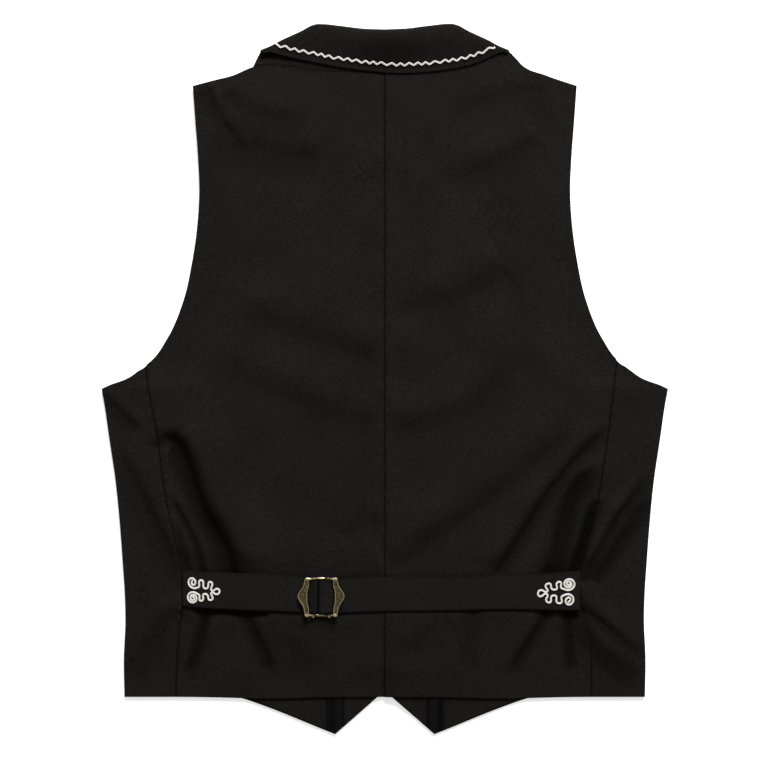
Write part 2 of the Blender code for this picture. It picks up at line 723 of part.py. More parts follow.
def buckle():
    """A slide buckle: two shaped wings over the straps, two low bars between them, and a centre bar."""
    stations = []
    for height in np.linspace(-1, 1, 13):
        wing = smooth(WING_EDGE, "height", "half_width", height * BUCKLE_HALF_HEIGHT)
        hole = WINDOW_HALF + WINDOW_BULGE * (1 - height * height)
        stations.append((hole, height * WINDOW_HALF_HEIGHT, wing, height * BUCKLE_HALF_HEIGHT))
    for share in np.linspace(1, -1, 9)[1:-1]:
        stations.append((share * WINDOW_HALF, WINDOW_HALF_HEIGHT, share * CORNER_HALF, BUCKLE_HALF_HEIGHT))
    stations += [tuple(-value for value in station) for station in stations]
    base = float(belt_base(np.array(BUCKLE_X), np.array(BUCKLE_DROP)))
    bevel, bar_ends = 0.6, 1.2
    sections = []
    for hole_x, hole_y, edge_x, edge_y in stations:
        hole, edge = np.array([hole_x, hole_y]), np.array([edge_x, edge_y])
        inward = (hole - edge) / np.linalg.norm(hole - edge)
        low = base + between(BUCKLE_LOW, BUCKLE_HIGH, ease(abs(hole_x) / WINDOW_HALF))
        high = low + BUCKLE_HEIGHT
        corners = ((hole, low), (edge, low), (edge, high - bevel), (edge + inward * bevel, high),
                   (hole - inward * bevel, high), (hole, high - bevel))
        sections.append([place(BUCKLE_X + p[0], BUCKLE_DROP - p[1], z) for p, z in corners])
    frame = add_object("buckle", ring("buckle", np.array(sections)), "brass")

    reach = (WINDOW_HALF_HEIGHT + bar_ends) * MM
    shape = bmesh.new()
    bmesh.ops.create_cone(shape, cap_ends=True, segments=10, radius1=BAR_RADIUS * MM,
                          radius2=BAR_RADIUS * MM, depth=2 * reach)
    mesh = bpy.data.meshes.new("centre_bar")
    shape.to_mesh(mesh)
    shape.free()
    bar = bpy.data.objects.new("centre_bar", mesh)
    bpy.context.scene.collection.objects.link(bar)
    bar.location = place(np.array(BAR_X), np.array(BUCKLE_DROP), np.array(base + BAR_RISE))
    bar.rotation_euler = (math.pi / 2, 0, 0)
    bar.hide_render = True
    bar.display_type = "WIRE"
    joined = frame.modifiers.new("centre_bar", "BOOLEAN")
    joined.operation = "UNION"
    joined.solver = "EXACT"
    joined.object = bar


def scroll_line():
    """A scroll of cord: a curl, a leaf of five lobes, and a second curl, as points along and up."""
    curl_x, curl_y, curl_radius, curl_turns, tightening = 9.4, 7.4, 1.0, 1.4, 0.75
    leaf_start, leaf_reach, leaf_half, fullness = 13.2, 17.6, 6.6, 0.62
    swing, bulge, waves = 2.9, 0.8, 2.5
    spine_steps, leaf_steps, curl_steps = 200, 31, 17
    turn = np.linspace(0, math.pi / 2, spine_steps)
    spine = np.stack([leaf_start + leaf_reach * np.cos(turn), leaf_half * np.sin(turn) ** fullness], axis=1)
    run = np.concatenate([[0], np.cumsum(np.linalg.norm(np.diff(spine, axis=0), axis=1))])
    even = np.linspace(0, run[-1], leaf_steps)
    spine = np.stack([np.interp(even, run, spine[:, k]) for k in (0, 1)], axis=1)
    way = np.gradient(spine, axis=0)
    way /= np.linalg.norm(way, axis=1)[:, None]
    outward = np.stack([way[:, 1], -way[:, 0]], axis=1)
    phase = (2 * math.pi * waves * even / run[-1])[:, None]
    leaf = spine + outward * swing * np.cos(phase) + way * bulge * np.sin(2 * phase)
    start = leaf[-1] - (curl_x, curl_y)
    share = np.linspace(0, 1, curl_steps)[1:]
    radius = between(np.hypot(*start), curl_radius, share ** tightening)
    angle = math.atan2(start[1], start[0]) - 2 * math.pi * curl_turns * share
    curl = np.stack([curl_x + radius * np.cos(angle), curl_y + radius * np.sin(angle)], axis=1)
    half = np.concatenate([leaf, curl])
    return np.concatenate([half[::-1], (half * (1, -1))[1:]])


def motif(side):
    """The cord scroll on a strap's sewn end, pointing at the belt's middle."""
    edges, end = BELT_RIGHT_EDGES, BELT_RIGHT_END
    if side == "left":
        edges, end = BELT_LEFT_EDGES, BELT_LEFT_END
    line = scroll_line()
    x = end - sign_of(side) * line[:, 0]
    middle = (smooth(edges, "x", "top", x) + smooth(edges, "x", "bottom", x)) / 2
    drop = middle - line[:, 1]
    rise = belt_base(x, drop) + SEAM + STRAP
    normals = np.tile((0.0, 0.0, 1.0), (len(x), 1))
    ribbon("motif_" + side, place(x, drop, rise), normals, SEAM, CORD_WIDTH, CORD_HEIGHT, "braid")


def main():
    for old in list(bpy.data.objects):
        bpy.data.objects.remove(old)
    vest = bpy.data.objects.new("vest", None)
    bpy.context.scene.collection.objects.link(vest)
    for side in ("left", "right"):
        back(side)
        side_back(side)
        front(side)
        point_pieces(side)
        lapel(side)
        motif(side)
    for number, drop in enumerate(BUTTON_DROPS, 1):
        button(number, drop)
    collar()
    collar_braid()
    belt_left()
    belt_right()
    buckle()


main()
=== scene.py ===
"""A suit vest laid flat on its front: cloth, trim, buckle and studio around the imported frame.

Lengths are in millimetres until a mesh is made in metres. A drop is a length down from the top of
the collar, and x runs across the vest from the centre back seam. A half width counts from that
seam and serves both sides. The left side of the wearer has the negative x.
"""

import math
from collections import namedtuple

import bmesh
import bpy
import numpy as np
from bpy.props import FloatProperty, FloatVectorProperty, PointerProperty
from bpy.types import Operator, Panel, PropertyGroup
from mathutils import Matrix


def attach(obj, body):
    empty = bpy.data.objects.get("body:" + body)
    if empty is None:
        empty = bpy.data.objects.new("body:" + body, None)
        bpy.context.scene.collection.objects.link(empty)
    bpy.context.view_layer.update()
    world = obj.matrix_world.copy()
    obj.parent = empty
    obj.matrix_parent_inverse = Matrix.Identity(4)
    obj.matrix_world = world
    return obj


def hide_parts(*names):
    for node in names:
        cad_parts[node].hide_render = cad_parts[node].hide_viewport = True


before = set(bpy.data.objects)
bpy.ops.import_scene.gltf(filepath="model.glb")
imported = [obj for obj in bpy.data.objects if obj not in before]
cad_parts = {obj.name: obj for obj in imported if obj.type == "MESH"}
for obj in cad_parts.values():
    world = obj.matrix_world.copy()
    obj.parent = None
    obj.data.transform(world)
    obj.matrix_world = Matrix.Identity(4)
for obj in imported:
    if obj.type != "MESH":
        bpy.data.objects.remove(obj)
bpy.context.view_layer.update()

bl_info = {
    "name": "Suit Vest Laid Flat",
    "version": (1, 0, 0),
    "blender": (4, 5, 0),
    "location": "3D View > Sidebar > Vest",
    "description": "Cloth, trim, buckle and studio of a suit vest that lies on its front",
    "category": "Object",
}

MM = 0.001
BODY = "root"
SIDES = ("left", "right")

# Driving dimensions of the pattern
LENGTH = 651.0
CHEST_HALF = 259.8
UNDERARM_DROP = 334.0
SHOULDER_TIP_DROP = 56.3
SHOULDER_HALF = 176.0
NECK_DROP = 44.0
HEM_DROP = 616.6
HEM_HALF = 238.7
POINT_HALF = 45.5
LAP = 15.0
BREAK_DROP = 300.0
FRONT_HEM_DROP = 610.0

CLOTH = 1.4
COLLAR_CLOTH = 1.3
COLLAR_ROUNDING = 0.8
LAPEL_CLOTH = 1.2
LINING = 1.0
STRAP = 1.8
SEAM = 0.3
LAP_GAP = 0.6

BUTTON_RADIUS = 7.5
BUTTON_HEIGHT = 2.2
BUTTON_DROPS = np.linspace(312.0, 575.0, 5)

BRAID_INSET = 8.2
BRAID_SWING = 1.05
BRAID_WAVES = 25
BRAID_REACH = 0.885

BELT_LEFT_END = -184.6
BELT_RIGHT_END = 178.6
BUCKLE_X = -58.1
BUCKLE_DROP = 524.2
BUCKLE_HEIGHT = 2.0
BUCKLE_LOW = 1.3
BUCKLE_HIGH = 4.4
BUCKLE_HALF_HEIGHT = 18.2
WINDOW_HALF_HEIGHT = 15.4
CORNER_HALF = 14.9
WINDOW_HALF = 11.0
WINDOW_BULGE = 1.4
BAR_X = -57.0
BAR_RADIUS = 0.8
BAR_RISE = 2.3
LOOP_CLOTH = 0.9
LOOP_RADIUS = BAR_RADIUS + SEAM + LOOP_CLOTH / 2
LOOP_START = -76.0
TAIL_CLOTH = 1.6
TAIL_END = -73.0
PLEAT_HALF = 53.8
PLEAT_RISE = 0.5
FACING_HALF = 38.2
LINING_CLEAR = 0.2

# The photograph's frame: its width on the vest, and the place at its middle
PICTURE_WIDTH = 695.8
PICTURE_X = -4.35
PICTURE_Y = -0.4

# Where points lie across a cloth edge that rounds over, as shares of the rounding
EDGE_PLACES = np.array([0.0, 0.1, 0.35, 0.75, 1.3])
EDGE_STEPS = len(EDGE_PLACES) - 1

# The level that a noise pattern varies about
NOISE_MEAN = 0.5


def table(columns, *rows):
    """Rows of numbers as a dictionary of named columns."""
    return dict(zip(columns.split(), np.array(rows, float).T))


ARMHOLE = table(
    "drop half_width",
    (SHOULDER_TIP_DROP, SHOULDER_HALF), (88, 173.7), (125, 171), (152, 170), (180, 171.5), (216, 176.4),
    (253, 184.7), (289, 200.2), (307.6, 213.5), (316.8, 225), (326, 239.6), (330.5, 252.4),
    (UNDERARM_DROP, CHEST_HALF),
)
SIDE_SEAM = table(
    "drop half_width",
    (UNDERARM_DROP, CHEST_HALF), (344, 257.9), (381, 252.4), (417.5, 247), (454, 243.3), (491, 240.5),
    (527, 238.2), (545, 237.8), (582, 239.2), (HEM_DROP, HEM_HALF),
)
BACK_SEAM = table(
    "drop left right",
    (307, 220, 213), (338, 215.8, 209.4), (370, 209.7, 205.4), (400, 205.6, 201), (430, 201.3, 196.4),
    (455, 196.2, 191.4), (470, 192.7, 186.5), (485, 188.4, 183.3), (500, 185, 179.3), (533, 185, 180.5),
    (550, 187.5, 185), (570, 189.4, 188.8), (600, 191, 189.4), (HEM_DROP, 191.5, 189.4),
)
SEAM_TOP_DROP = {"left": 312.2, "right": 307.2}
SHOULDER_LINE = {
    "left": table(
        "half_width drop",
        (0, NECK_DROP), (36, 43.5), (68, 41.7), (93, 38), (120.6, 39), (139, 46.7), (157, 51.3),
        (SHOULDER_HALF, SHOULDER_TIP_DROP),
    ),
    "right": table(
        "half_width drop",
        (0, NECK_DROP), (36, 42), (68, 36), (93, 29.5), (117, 28), (126, 37.5), (147.7, 46.7),
        (SHOULDER_HALF, SHOULDER_TIP_DROP),
    ),
}
NECK_POINT = {"left": 120.6, "right": 117.0}
FRONT_EDGE = table(
    "drop half_width",
    (38, 119), (BREAK_DROP, -LAP), (588, -LAP), (598, -12), (611, 0), (LENGTH, POINT_HALF),
)
FRONT_HEM = table(
    "half_width drop",
    (POINT_HALF, LENGTH), (130, 618.3), (150, 612.5), (180, 608.5), (HEM_HALF, FRONT_HEM_DROP),
)
LAPEL_EDGE = table(
    "drop half_width",
    (38, 146), (57, 150), (110, 149), (165, 125), (215, 80), (262, 16), (300, -40), (330, -90),
)
BACK_RISE = table(
    "drop rise",
    (40, 0), (80, 0.6), (150, 1.6), (210, 2.6), (260, 4), (300, 4.8), (430, 4.8), (560, 4.8), (590, 4.6),
    (HEM_DROP, 4),
)
ROLL_LINE = table(
    "half_width drop",
    (0, 5.5), (20, 4.6), (40, 2), (57, 0.1), (63, 0.2), (68, 1.8), (74.6, 5.5), (84.3, 10), (94.5, 14.6),
    (103, 19.2), (114, 23.8),
)
FALL_EDGE = {
    "left": table(
        "half_width drop",
        (0, 44.6), (15, 43.1), (31, 41.2), (46.6, 38.8), (62.3, 35.7), (78, 32.5), (94, 28.9), (102, 26.8),
        (113, 24.8),
    ),
    "right": table(
        "half_width drop",
        (0, 44.6), (17, 45.1), (34.5, 44.3), (52, 42.6), (69.5, 39.9), (87, 34.7), (100, 28.7), (107, 26),
        (113, 25.2),
    ),
}
BELT_LEFT_EDGES = table(
    "x top bottom",
    (BELT_LEFT_END, 500.4, 532.8), (-160, 501.5, 534.6), (-123, 503, 536.5), (-94, 504.6, 537.4),
    (-76, 506.5, 538.5), (-67, 509.2, 538.9), (-50, 509.2, 538.9),
)
BELT_RIGHT_EDGES = table(
    "x top bottom",
    (TAIL_END, 509.2, 538.9), (-60, 509.2, 538.9), (-47, 509.2, 538.9), (-38, 507.5, 538.6),
    (0, 506.3, 537.4), (67, 506.3, 536.5), (100, 505.4, 535.6), (133, 504.5, 535.8),
    (162, 501.7, 536.5), (BELT_RIGHT_END, 500.5, 536.5),
)
BELT_LEFT_PATH = table(
    "x rise cloth",
    (BELT_LEFT_END, SEAM + STRAP / 2, STRAP), (-130, SEAM + STRAP / 2, STRAP),
    (LOOP_START, SEAM + STRAP / 2, STRAP), (-69, 0.95, 1.3), (-64, BAR_RISE - LOOP_RADIUS, LOOP_CLOTH),
)
LOOP_END = table(
    "x rise",
    (BAR_X - 1.5, 3.45), (BAR_X - 3.2, 2.6), (BAR_X - 5.5, 1.98),
)
BELT_RIGHT_PATH = table(
    "x rise cloth",
    (TAIL_END, 3.2, TAIL_CLOTH), (-69.5, 3.25, TAIL_CLOTH), (-66, 3.3, TAIL_CLOTH), (-62.4, 3.1, TAIL_CLOTH),
    (-61.2, 2.8, TAIL_CLOTH), (-60.3, 3.4, TAIL_CLOTH), (-59.4, 4.9, TAIL_CLOTH), (-58.4, 5.5, TAIL_CLOTH),
    (-56.5, 5.6, TAIL_CLOTH),
    (-52, 4.95, TAIL_CLOTH), (-48.5, 3.5, TAIL_CLOTH), (-45, 2.2, TAIL_CLOTH),
    (-40, 1.4, STRAP), (-34, 1.2, STRAP), (-24, 1.2, STRAP), (BELT_RIGHT_END, 1.2, STRAP),
)
WING_EDGE = table(
    "height half_width",
    (-BUCKLE_HALF_HEIGHT, CORNER_HALF), (-12, 15.7), (-8.7, 16.6), (-6, 18), (-3.3, 20), (-1.1, 21.3),
    (0.9, 21.6), (2.9, 21.3), (5.1, 20), (7.8, 17.9), (10.4, 16.5), (13.2, 15.7),
    (BUCKLE_HALF_HEIGHT, CORNER_HALF),
)
# Painted shade across the points' half width: dark bands in the lining's pleats, faint and even elsewhere.
POINT_SHADE = table(
    "half_width left right",
    (0, 0.15, 0.15), (35, 0.15, 0.15), (37.6, 0.8, 0.35), (39, 0.7, 0.5), (40.4, 0, 0.85), (42.8, 0.1, 0),
    (45, 0.5, 0.2), (47.5, 1.1, 0.5), (50, 1.0, 1.2), (52.6, 0.8, 1.0), (54.4, 0.4, 0.6), (57, 0.15, 0.15),
)

# Creases of the back, laid one by one. A wall falls by its height within its width, from a crest on its upper
# side to a hollow on its lower one, which fade over their reaches; a valley sinks both sides alike. The shade
# is painted shade: how much its depth darkens the cloth's colour. Each runs from its faint end to its deep
# one.
Crease = namedtuple("Crease", "place width height valley crest_reach hollow_reach shade line")
CREASES = (
    Crease("left long, above belt", 13.0, 11.0, 0.4, 34.0, 17.0, 0.9, (
        (-212, 387), (-201, 378), (-191, 379), (-184, 390), (-177, 405), (-170, 425), (-162, 445),
        (-149, 467), (-140, 484), (-133, 503), (-128, 517))),
    Crease("left long, its hook", 8.0, 2.4, 1.0, 10.0, 10.0, 0.6, (
        (-216, 392), (-206, 381), (-194, 377), (-184, 384), (-177, 400))),
    Crease("left by seam, above belt", 5.0, 4.6, 0.8, 8.0, 8.0, 0.6, (
        (-198, 426), (-185, 449), (-176, 466), (-170, 480), (-165, 500), (-162, 517))),
    Crease("left at belt end, above", 5.0, 1.6, 1.6, 6.0, 6.0, 0.7, (
        (-190, 450), (-186, 470), (-181, 490), (-177, 518))),
    Crease("left side panel, long", 13.0, 4.6, 0.0, 18.0, 18.0, 0.25, (
        (-252, 382), (-232, 410), (-217, 440), (-205, 462), (-192, 486), (-182, 506), (-174, 522))),
    Crease("left underarm corner", 7.0, 3.4, 0.4, 10.0, 10.0, 0.4, (
        (-222, 372), (-232, 364), (-248, 349), (-260, 338))),
    Crease("left by seam, below belt", 6.5, 6.2, 4.0, 13.0, 10.0, 0.95, (
        (-180, 602), (-173, 582), (-167, 564), (-163, 549), (-160, 524))),
    Crease("left, below belt", 8.0, 8.0, 1.4, 18.0, 12.0, 0.75, (
        (-102, 600), (-106, 581), (-113, 566), (-119, 552), (-125, 524))),
    Crease("left broad, below belt", 16.0, 3.4, 0.0, 18.0, 18.0, 0.2, (
        (-58, 594), (-78, 574), (-98, 556), (-112, 534))),
    Crease("left along the belt's lower edge", 4.5, 0.0, 2.8, 6.0, 6.0, 0.8, (
        (-180, 534), (-165, 536), (-140, 538), (-104, 538))),
    Crease("left side panel, below belt", 13.0, 4.4, 0.0, 16.0, 18.0, 0.3, (
        (-238, 606), (-228, 585), (-214, 562), (-192, 532))),
    Crease("right broad, above belt", 24.0, 7.4, 0.0, 32.0, 22.0, 0.15, (
        (182, 362), (165, 373), (148, 388), (128, 406), (104, 425), (75, 445), (45, 466), (22, 484),
        (0, 494))),
    Crease("right long, above belt", 9.0, 8.8, 0.8, 18.0, 13.0, 0.55, (
        (206, 364), (186, 384), (170, 402), (155, 420), (140, 440), (128, 460), (115, 480), (96, 508))),
    Crease("right deep, above belt", 12.0, 9.0, 1.6, 12.0, 14.0, 0.95, (
        (199, 401), (184, 411), (172, 425), (165, 440), (160, 460), (156, 480), (150, 512))),
    Crease("right at belt end, above", 7.5, 7.0, 4.6, 9.0, 9.0, 1.3, (
        (192, 432), (184, 458), (179, 475), (174, 490), (168, 514))),
    Crease("right broad, at belt end", 12.0, 0.0, 1.2, 10.0, 10.0, 0.7, (
        (182, 416), (174, 440), (169, 466), (164, 492), (158, 520))),
    Crease("right along the belt's upper edge", 5.0, 0.0, 1.2, 6.0, 6.0, 0.45, (
        (136, 504), (152, 501), (166, 499), (188, 496))),
    Crease("right side panel, inner", 6.4, 6.2, 0.4, 9.0, 7.0, 0.75, (
        (244, 406), (226, 434), (212, 452), (202, 470), (193, 485), (184, 500), (176, 514))),
    Crease("right side panel, outer", 8.4, 6.0, 0.4, 9.0, 9.0, 0.75, (
        (244, 424), (233, 444), (222, 460), (210, 478), (198, 496), (186, 512))),
    Crease("right, below belt", 6.5, 8.0, 1.4, 14.0, 11.0, 0.7, (
        (112, 600), (121, 581), (130, 566), (138, 553), (149, 524))),
    Crease("right by seam, below belt", 6.5, 5.4, 4.4, 10.0, 8.0, 0.95, (
        (174, 598), (171, 572), (170, 555), (171, 524))),
    Crease("right faint, below belt", 10.0, 3.2, 0.0, 14.0, 12.0, 0.3, (
        (75, 592), (80, 568), (86, 546), (90, 530))),
    Crease("right middle, below belt", 16.0, 2.8, 0.0, 16.0, 16.0, 0.1, (
        (18, 574), (34, 558), (52, 538))),
    Crease("right side panel, upper", 7.5, 5.4, 0.4, 11.0, 10.0, 0.5, (
        (240, 584), (222, 567), (210, 556), (196, 544), (180, 532))),
    Crease("right side panel, lower", 13.0, 5.2, 0.0, 12.0, 14.0, 0.7, (
        (240, 604), (216, 585), (202, 576), (190, 562), (183, 546), (176, 522))),
    Crease("left shoulder", 6.5, 4.4, 0.6, 10.0, 14.0, 0.4, (
        (-122, 120), (-144, 94), (-154, 77), (-164, 54))),
    Crease("left shoulder blade", 22.0, 4.4, 0.0, 28.0, 26.0, 0.28, (
        (-50, 120), (-92, 117), (-124, 106), (-152, 88))),
    Crease("left under collar", 18.0, 3.2, 0.0, 20.0, 20.0, 0.28, (
        (-72, 82), (-100, 84), (-130, 74), (-150, 62))),
    Crease("right under collar", 18.0, 3.0, 0.0, 20.0, 22.0, 0.1, (
        (60, 84), (90, 70), (126, 60), (150, 60))),
    Crease("right shoulder blade", 22.0, 4.4, 0.0, 28.0, 26.0, 0.1, (
        (46, 146), (76, 134), (106, 124), (144, 104))),
    Crease("right middle", 20.0, 4.2, 0.0, 28.0, 24.0, 0.1, (
        (4, 270), (30, 254), (58, 248), (88, 234), (112, 218))),
    Crease("left middle", 24.0, 4.4, 0.0, 30.0, 28.0, 0.1, (
        (-140, 254), (-112, 264), (-78, 279), (-40, 293), (-4, 302))),
    Crease("left lower middle", 26.0, 4.4, 0.0, 30.0, 28.0, 0.1, (
        (-164, 298), (-130, 318), (-96, 334), (-58, 350), (-6, 366))),
    Crease("right lower middle", 24.0, 4.8, 0.0, 30.0, 28.0, 0.1, (
        (140, 286), (122, 304), (104, 322), (80, 346), (40, 362), (0, 368))),
    Crease("left waist", 26.0, 2.2, 0.0, 24.0, 30.0, 0.1, (
        (-92, 486), (-62, 492), (-36, 494), (-6, 486))),
    Crease("left waist, by the middle", 18.0, 3.0, 0.0, 22.0, 22.0, 0.1, (
        (-44, 470), (-24, 456), (0, 448))),
)


def smooth(rows, given, wanted, at):
    """A table's wanted column where its given column is at, on a smooth curve through the rows."""
    knots, values = rows[given], rows[wanted]
    slopes = np.gradient(values, knots)
    at = np.clip(at, knots[0], knots[-1])
    i = np.clip(np.searchsorted(knots, at) - 1, 0, len(knots) - 2)
    span = knots[i + 1] - knots[i]
    t = (at - knots[i]) / span
    from_start = (1 + 2 * t) * (1 - t) ** 2 * values[i] + t * (1 - t) ** 2 * span * slopes[i]
    from_end = t * t * (3 - 2 * t) * values[i + 1] - t * t * (1 - t) * span * slopes[i + 1]
    return from_start + from_end


def ease(share):
    """A soft step from 0 to 1."""
    share = np.clip(share, 0.0, 1.0)
    return share * share * (3 - 2 * share)


def between(start, end, share):
    return start + (end - start) * share


def bell(away, width):
    """1 in the middle, fading to nothing beyond a width on both sides."""
    return np.exp(-((away / width) ** 2))


def run_along(points):
    """How far each point of a line lies along it."""
    return np.concatenate([[0], np.cumsum(np.linalg.norm(np.diff(points, axis=0), axis=1))])


def sign_of(side):
    return -1.0 if side == "left" else 1.0


def pairs(x, drop):
    """Two arrays side by side, such as x and drop."""
    return np.stack(np.broadcast_arrays(x, drop), axis=-1)


# Heights of the layers, as functions of x and drop


def outline_half(drop):
    """Half the width of the vest's outline below the shoulder."""
    arm = smooth(ARMHOLE, "drop", "half_width", drop)
    side = smooth(SIDE_SEAM, "drop", "half_width", drop)
    return np.where(drop < UNDERARM_DROP, arm, side)


def lapel_lift(x, drop):
    """How far the lapels and collar lift what lies on them."""
    margin, ramp = 20.0, 60.0
    edge = smooth(LAPEL_EDGE, "drop", "half_width", drop)
    return (LAPEL_CLOTH + SEAM) * (1 - ease((np.abs(x) - edge - margin) / ramp))


def button_lift(x, drop):
    """How far the buttons lift the lap of the fronts."""
    flat, ramp = 14.0, 40.0
    start, start_ramp, end, end_ramp = 200.0, 100.0, 584.0, 20.0
    across = 1 - ease((np.abs(x) - flat) / ramp)
    down = ease((drop - start) / start_ramp) * (1 - ease((drop - end) / end_ramp))
    return (BUTTON_HEIGHT + SEAM) * across * down


def front_under(side, x, drop):
    """The underside of a front. The right front lies on the left one where they lap."""
    flat, ramp = 12.0, 45.0
    lift = np.maximum(lapel_lift(x, drop), button_lift(x, drop))
    if side == "left":
        return lift
    left_edge = -np.interp(drop, FRONT_EDGE["drop"], FRONT_EDGE["half_width"])
    return lift + (CLOTH + LAP_GAP) * (1 - ease((x - left_edge - flat) / ramp))


def back_support(x, drop):
    """The lowest that the back's underside can lie, on the fronts."""
    return CLOTH + SEAM + lapel_lift(x, drop)


def back_under_smooth(x, drop):
    """The underside of the back before it folds: on the fronts at the edges, raised between them."""
    sloping_share = 0.35
    share = np.abs(x) / outline_half(drop)
    crown = ease((1 - share) / sloping_share)
    return back_support(x, drop) + smooth(BACK_RISE, "drop", "rise", drop) * crown


def belt_base(x, drop):
    """The height that the belt lies on."""
    return back_under_smooth(x, drop) + CLOTH


def belt_edge(edge, x):
    """The drop of the belt's top or bottom edge."""
    left, right = (smooth(rows, "x", edge, x) for rows in (BELT_LEFT_EDGES, BELT_RIGHT_EDGES))
    return np.where(x < BUCKLE_X, left, right)


def belt_clear(x, drop):
    """1 away from the belt and 0 under it, where the belt presses the crests flat."""
    ramp = 24.0
    away = np.maximum(np.maximum(belt_edge("top", x) - drop, drop - belt_edge("bottom", x)), 0.0)
    past_end = np.maximum(np.maximum(BELT_LEFT_END - x, x - BELT_RIGHT_END), 0.0)
    return ease(np.hypot(away, past_end) / ramp)


def run_through(places, count):
    """Points of a smooth line through a few places."""
    places = np.array(places, float)
    run = run_along(places)
    rows = {"share": run / run[-1], "x": places[:, 0], "drop": places[:, 1]}
    share = np.linspace(0, 1, count)
    return pairs(smooth(rows, "share", "x", share), smooth(rows, "share", "drop", share))


def crease_shape(crease, x, drop):
    """The hollow, the crest and the painted shade of one crease at places near it."""
    fade_in, fade_out, upward, shade_shift, steps = 0.2, 0.07, (0.25, -0.97), 0.35, 24
    points = run_through(crease.line, steps)
    start, way = points[:-1], np.diff(points, axis=0)
    offset = pairs(x, drop)[:, None, :] - start
    share = np.clip((offset * way).sum(-1) / (way * way).sum(-1), 0, 1)
    apart = offset - share[..., None] * way
    nearest = np.argmin((apart * apart).sum(-1), axis=1)
    row = np.arange(len(nearest))
    apart, step = apart[row, nearest], way[nearest]
    turned = np.stack([step[:, 1], -step[:, 0]], axis=1)
    whole = points[-1] - points[0]
    upper = np.sign((apart * turned).sum(-1)) * np.sign(whole[1] * upward[0] - whole[0] * upward[1])
    away = np.linalg.norm(apart, axis=1)
    along = (nearest + share[row, nearest]) / len(start)
    fade = ease(along / fade_in) * ease((1 - along) / fade_out)
    reach = np.where(upper > 0, crease.crest_reach, crease.hollow_reach)
    wall = upper * crease.height / 2 * np.tanh(2 * away / crease.width) * bell(away, reach)
    valley = crease.valley * bell(away, crease.width)
    deep = (upper * away + shade_shift * crease.width) / crease.width
    shade = crease.shade * np.exp(-(np.abs(deep) ** 3))
    return fade * (np.maximum(-wall, 0) + valley), fade * np.maximum(wall, 0), fade * shade


def creases(x, drop):
    """The depth of the hollows, the height of the crests and the darkest painted shade at each place."""
    reach = 2.2
    hollow, crest, shade = np.zeros((3, *np.shape(x)))
    for crease in CREASES:
        line = np.array(crease.line, float)
        margin = reach * max(crease.crest_reach, crease.hollow_reach)
        near = (x > line[:, 0].min() - margin) & (x < line[:, 0].max() + margin)
        near &= (drop > line[:, 1].min() - margin) & (drop < line[:, 1].max() + margin)
        if near.any():
            deep, high, dark = crease_shape(crease, x[near], drop[near])
            hollow[near] += deep
            crest[near] += high
            shade[near] = np.maximum(shade[near], dark)
    return hollow, crest, shade


def ripples(x, drop, seed, count, shortest, longest):
    """Slight uneven waves in the cloth, between about -1 and 1."""
    chance = np.random.default_rng(seed)
    total = np.zeros(np.shape(x))
    for _ in range(count):
        turn, phase = chance.uniform(0, math.tau, 2)
        length = chance.uniform(shortest, longest)
        total += np.sin(math.tau * (x * math.cos(turn) + drop * math.sin(turn)) / length + phase)
    return total / math.sqrt(count)


def seam_distance(x, drop):
    """How far a place is from the nearest seam of the back."""
    left = np.abs(x + smooth(BACK_SEAM, "drop", "left", drop))
    right = np.abs(x - smooth(BACK_SEAM, "drop", "right", drop))
    return np.minimum(np.abs(x), np.where(drop > SEAM_TOP_DROP["right"], np.minimum(left, right), np.inf))


def seam_shade(away):
    """How much painted shade darkens the cloth that far from a seam."""
    dark, width = 0.8, 1.1
    return dark * bell(away, width)


def fold_shade(x, drop):
    """Painted shade of the cloth's creases and seams: 0 is plain cloth, and over 1 is nearly black."""
    half = np.abs(x)
    left, right = (smooth(SHOULDER_LINE[side], "half_width", "drop", half) for side in SIDES)
    neck = np.where(x < 0, left, right)
    to_neck = np.where(half < NECK_POINT["right"], np.abs(drop - neck), np.inf)
    seams = seam_shade(np.minimum(seam_distance(x, drop), to_neck))
    return np.maximum(seams, creases(x, drop)[2])


def seam_pucker(x, drop):
    """Small uneven puckers along the sewn seams of the back, and the turnings inside beside them."""
    reach, pitch, drift, drift_pitch, height = 7.0, 12.5, 1.9, 31.0, 0.16
    turning, turning_width, turning_height = 5.0, 3.0, 0.3
    away = seam_distance(x, drop)
    wave = np.sin(math.tau * drop / pitch + drift * np.sin(drop / drift_pitch) + np.sign(x))
    return turning_height * bell(away - turning, turning_width) + height * wave * bell(away, reach)


def hem_print(drop):
    """The faint step where the turned-up hem ends inside."""
    hem, ramp, height = 28.0, 3.0, 0.22
    return height * ease((drop - (HEM_DROP - hem)) / ramp)


def belt_bulge(x, drop):
    """The cloth that swells at the belt's edges, where the belt draws it in, most of all under the buckle."""
    end_ramp, swell, swell_start, swell_half = 20.0, 1.2, 7.0, 26.0
    ends = ease((x - BELT_LEFT_END) / end_ramp) * ease((BELT_RIGHT_END - x) / end_ramp)
    total = np.zeros(np.shape(x))
    for edge, way, height, start, reach in (("top", -1, 1.2, 3.0, 26.0), ("bottom", 1, 1.3, 2.2, 24.0)):
        away = np.maximum(way * (drop - belt_edge(edge, x)), 0.0)
        full = height * (1 - np.exp(-away / start))
        if edge == "bottom":
            full += swell * (1 - bell(away, swell_start)) * bell(x - BUCKLE_X, swell_half)
        total += full * bell(away, reach) * ends
    return total


def hem_rest(x, drop):
    """The height that the back's hem sinks to: on the lining and the facing, or on the bare front."""
    clear, lined_half, lined_ramp, bare_half, bare_ramp = 0.1, 118.0, 14.0, 3.0, 6.0
    front = np.where(x < 0, front_under("left", x, drop), front_under("right", x, drop)) + CLOTH
    half = np.abs(x)
    lined = ease((lined_half + lined_ramp - half) / lined_ramp) * ease((half - bare_half) / bare_ramp)
    return front + clear + (LINING_CLEAR + LINING + PLEAT_RISE / 2) * lined


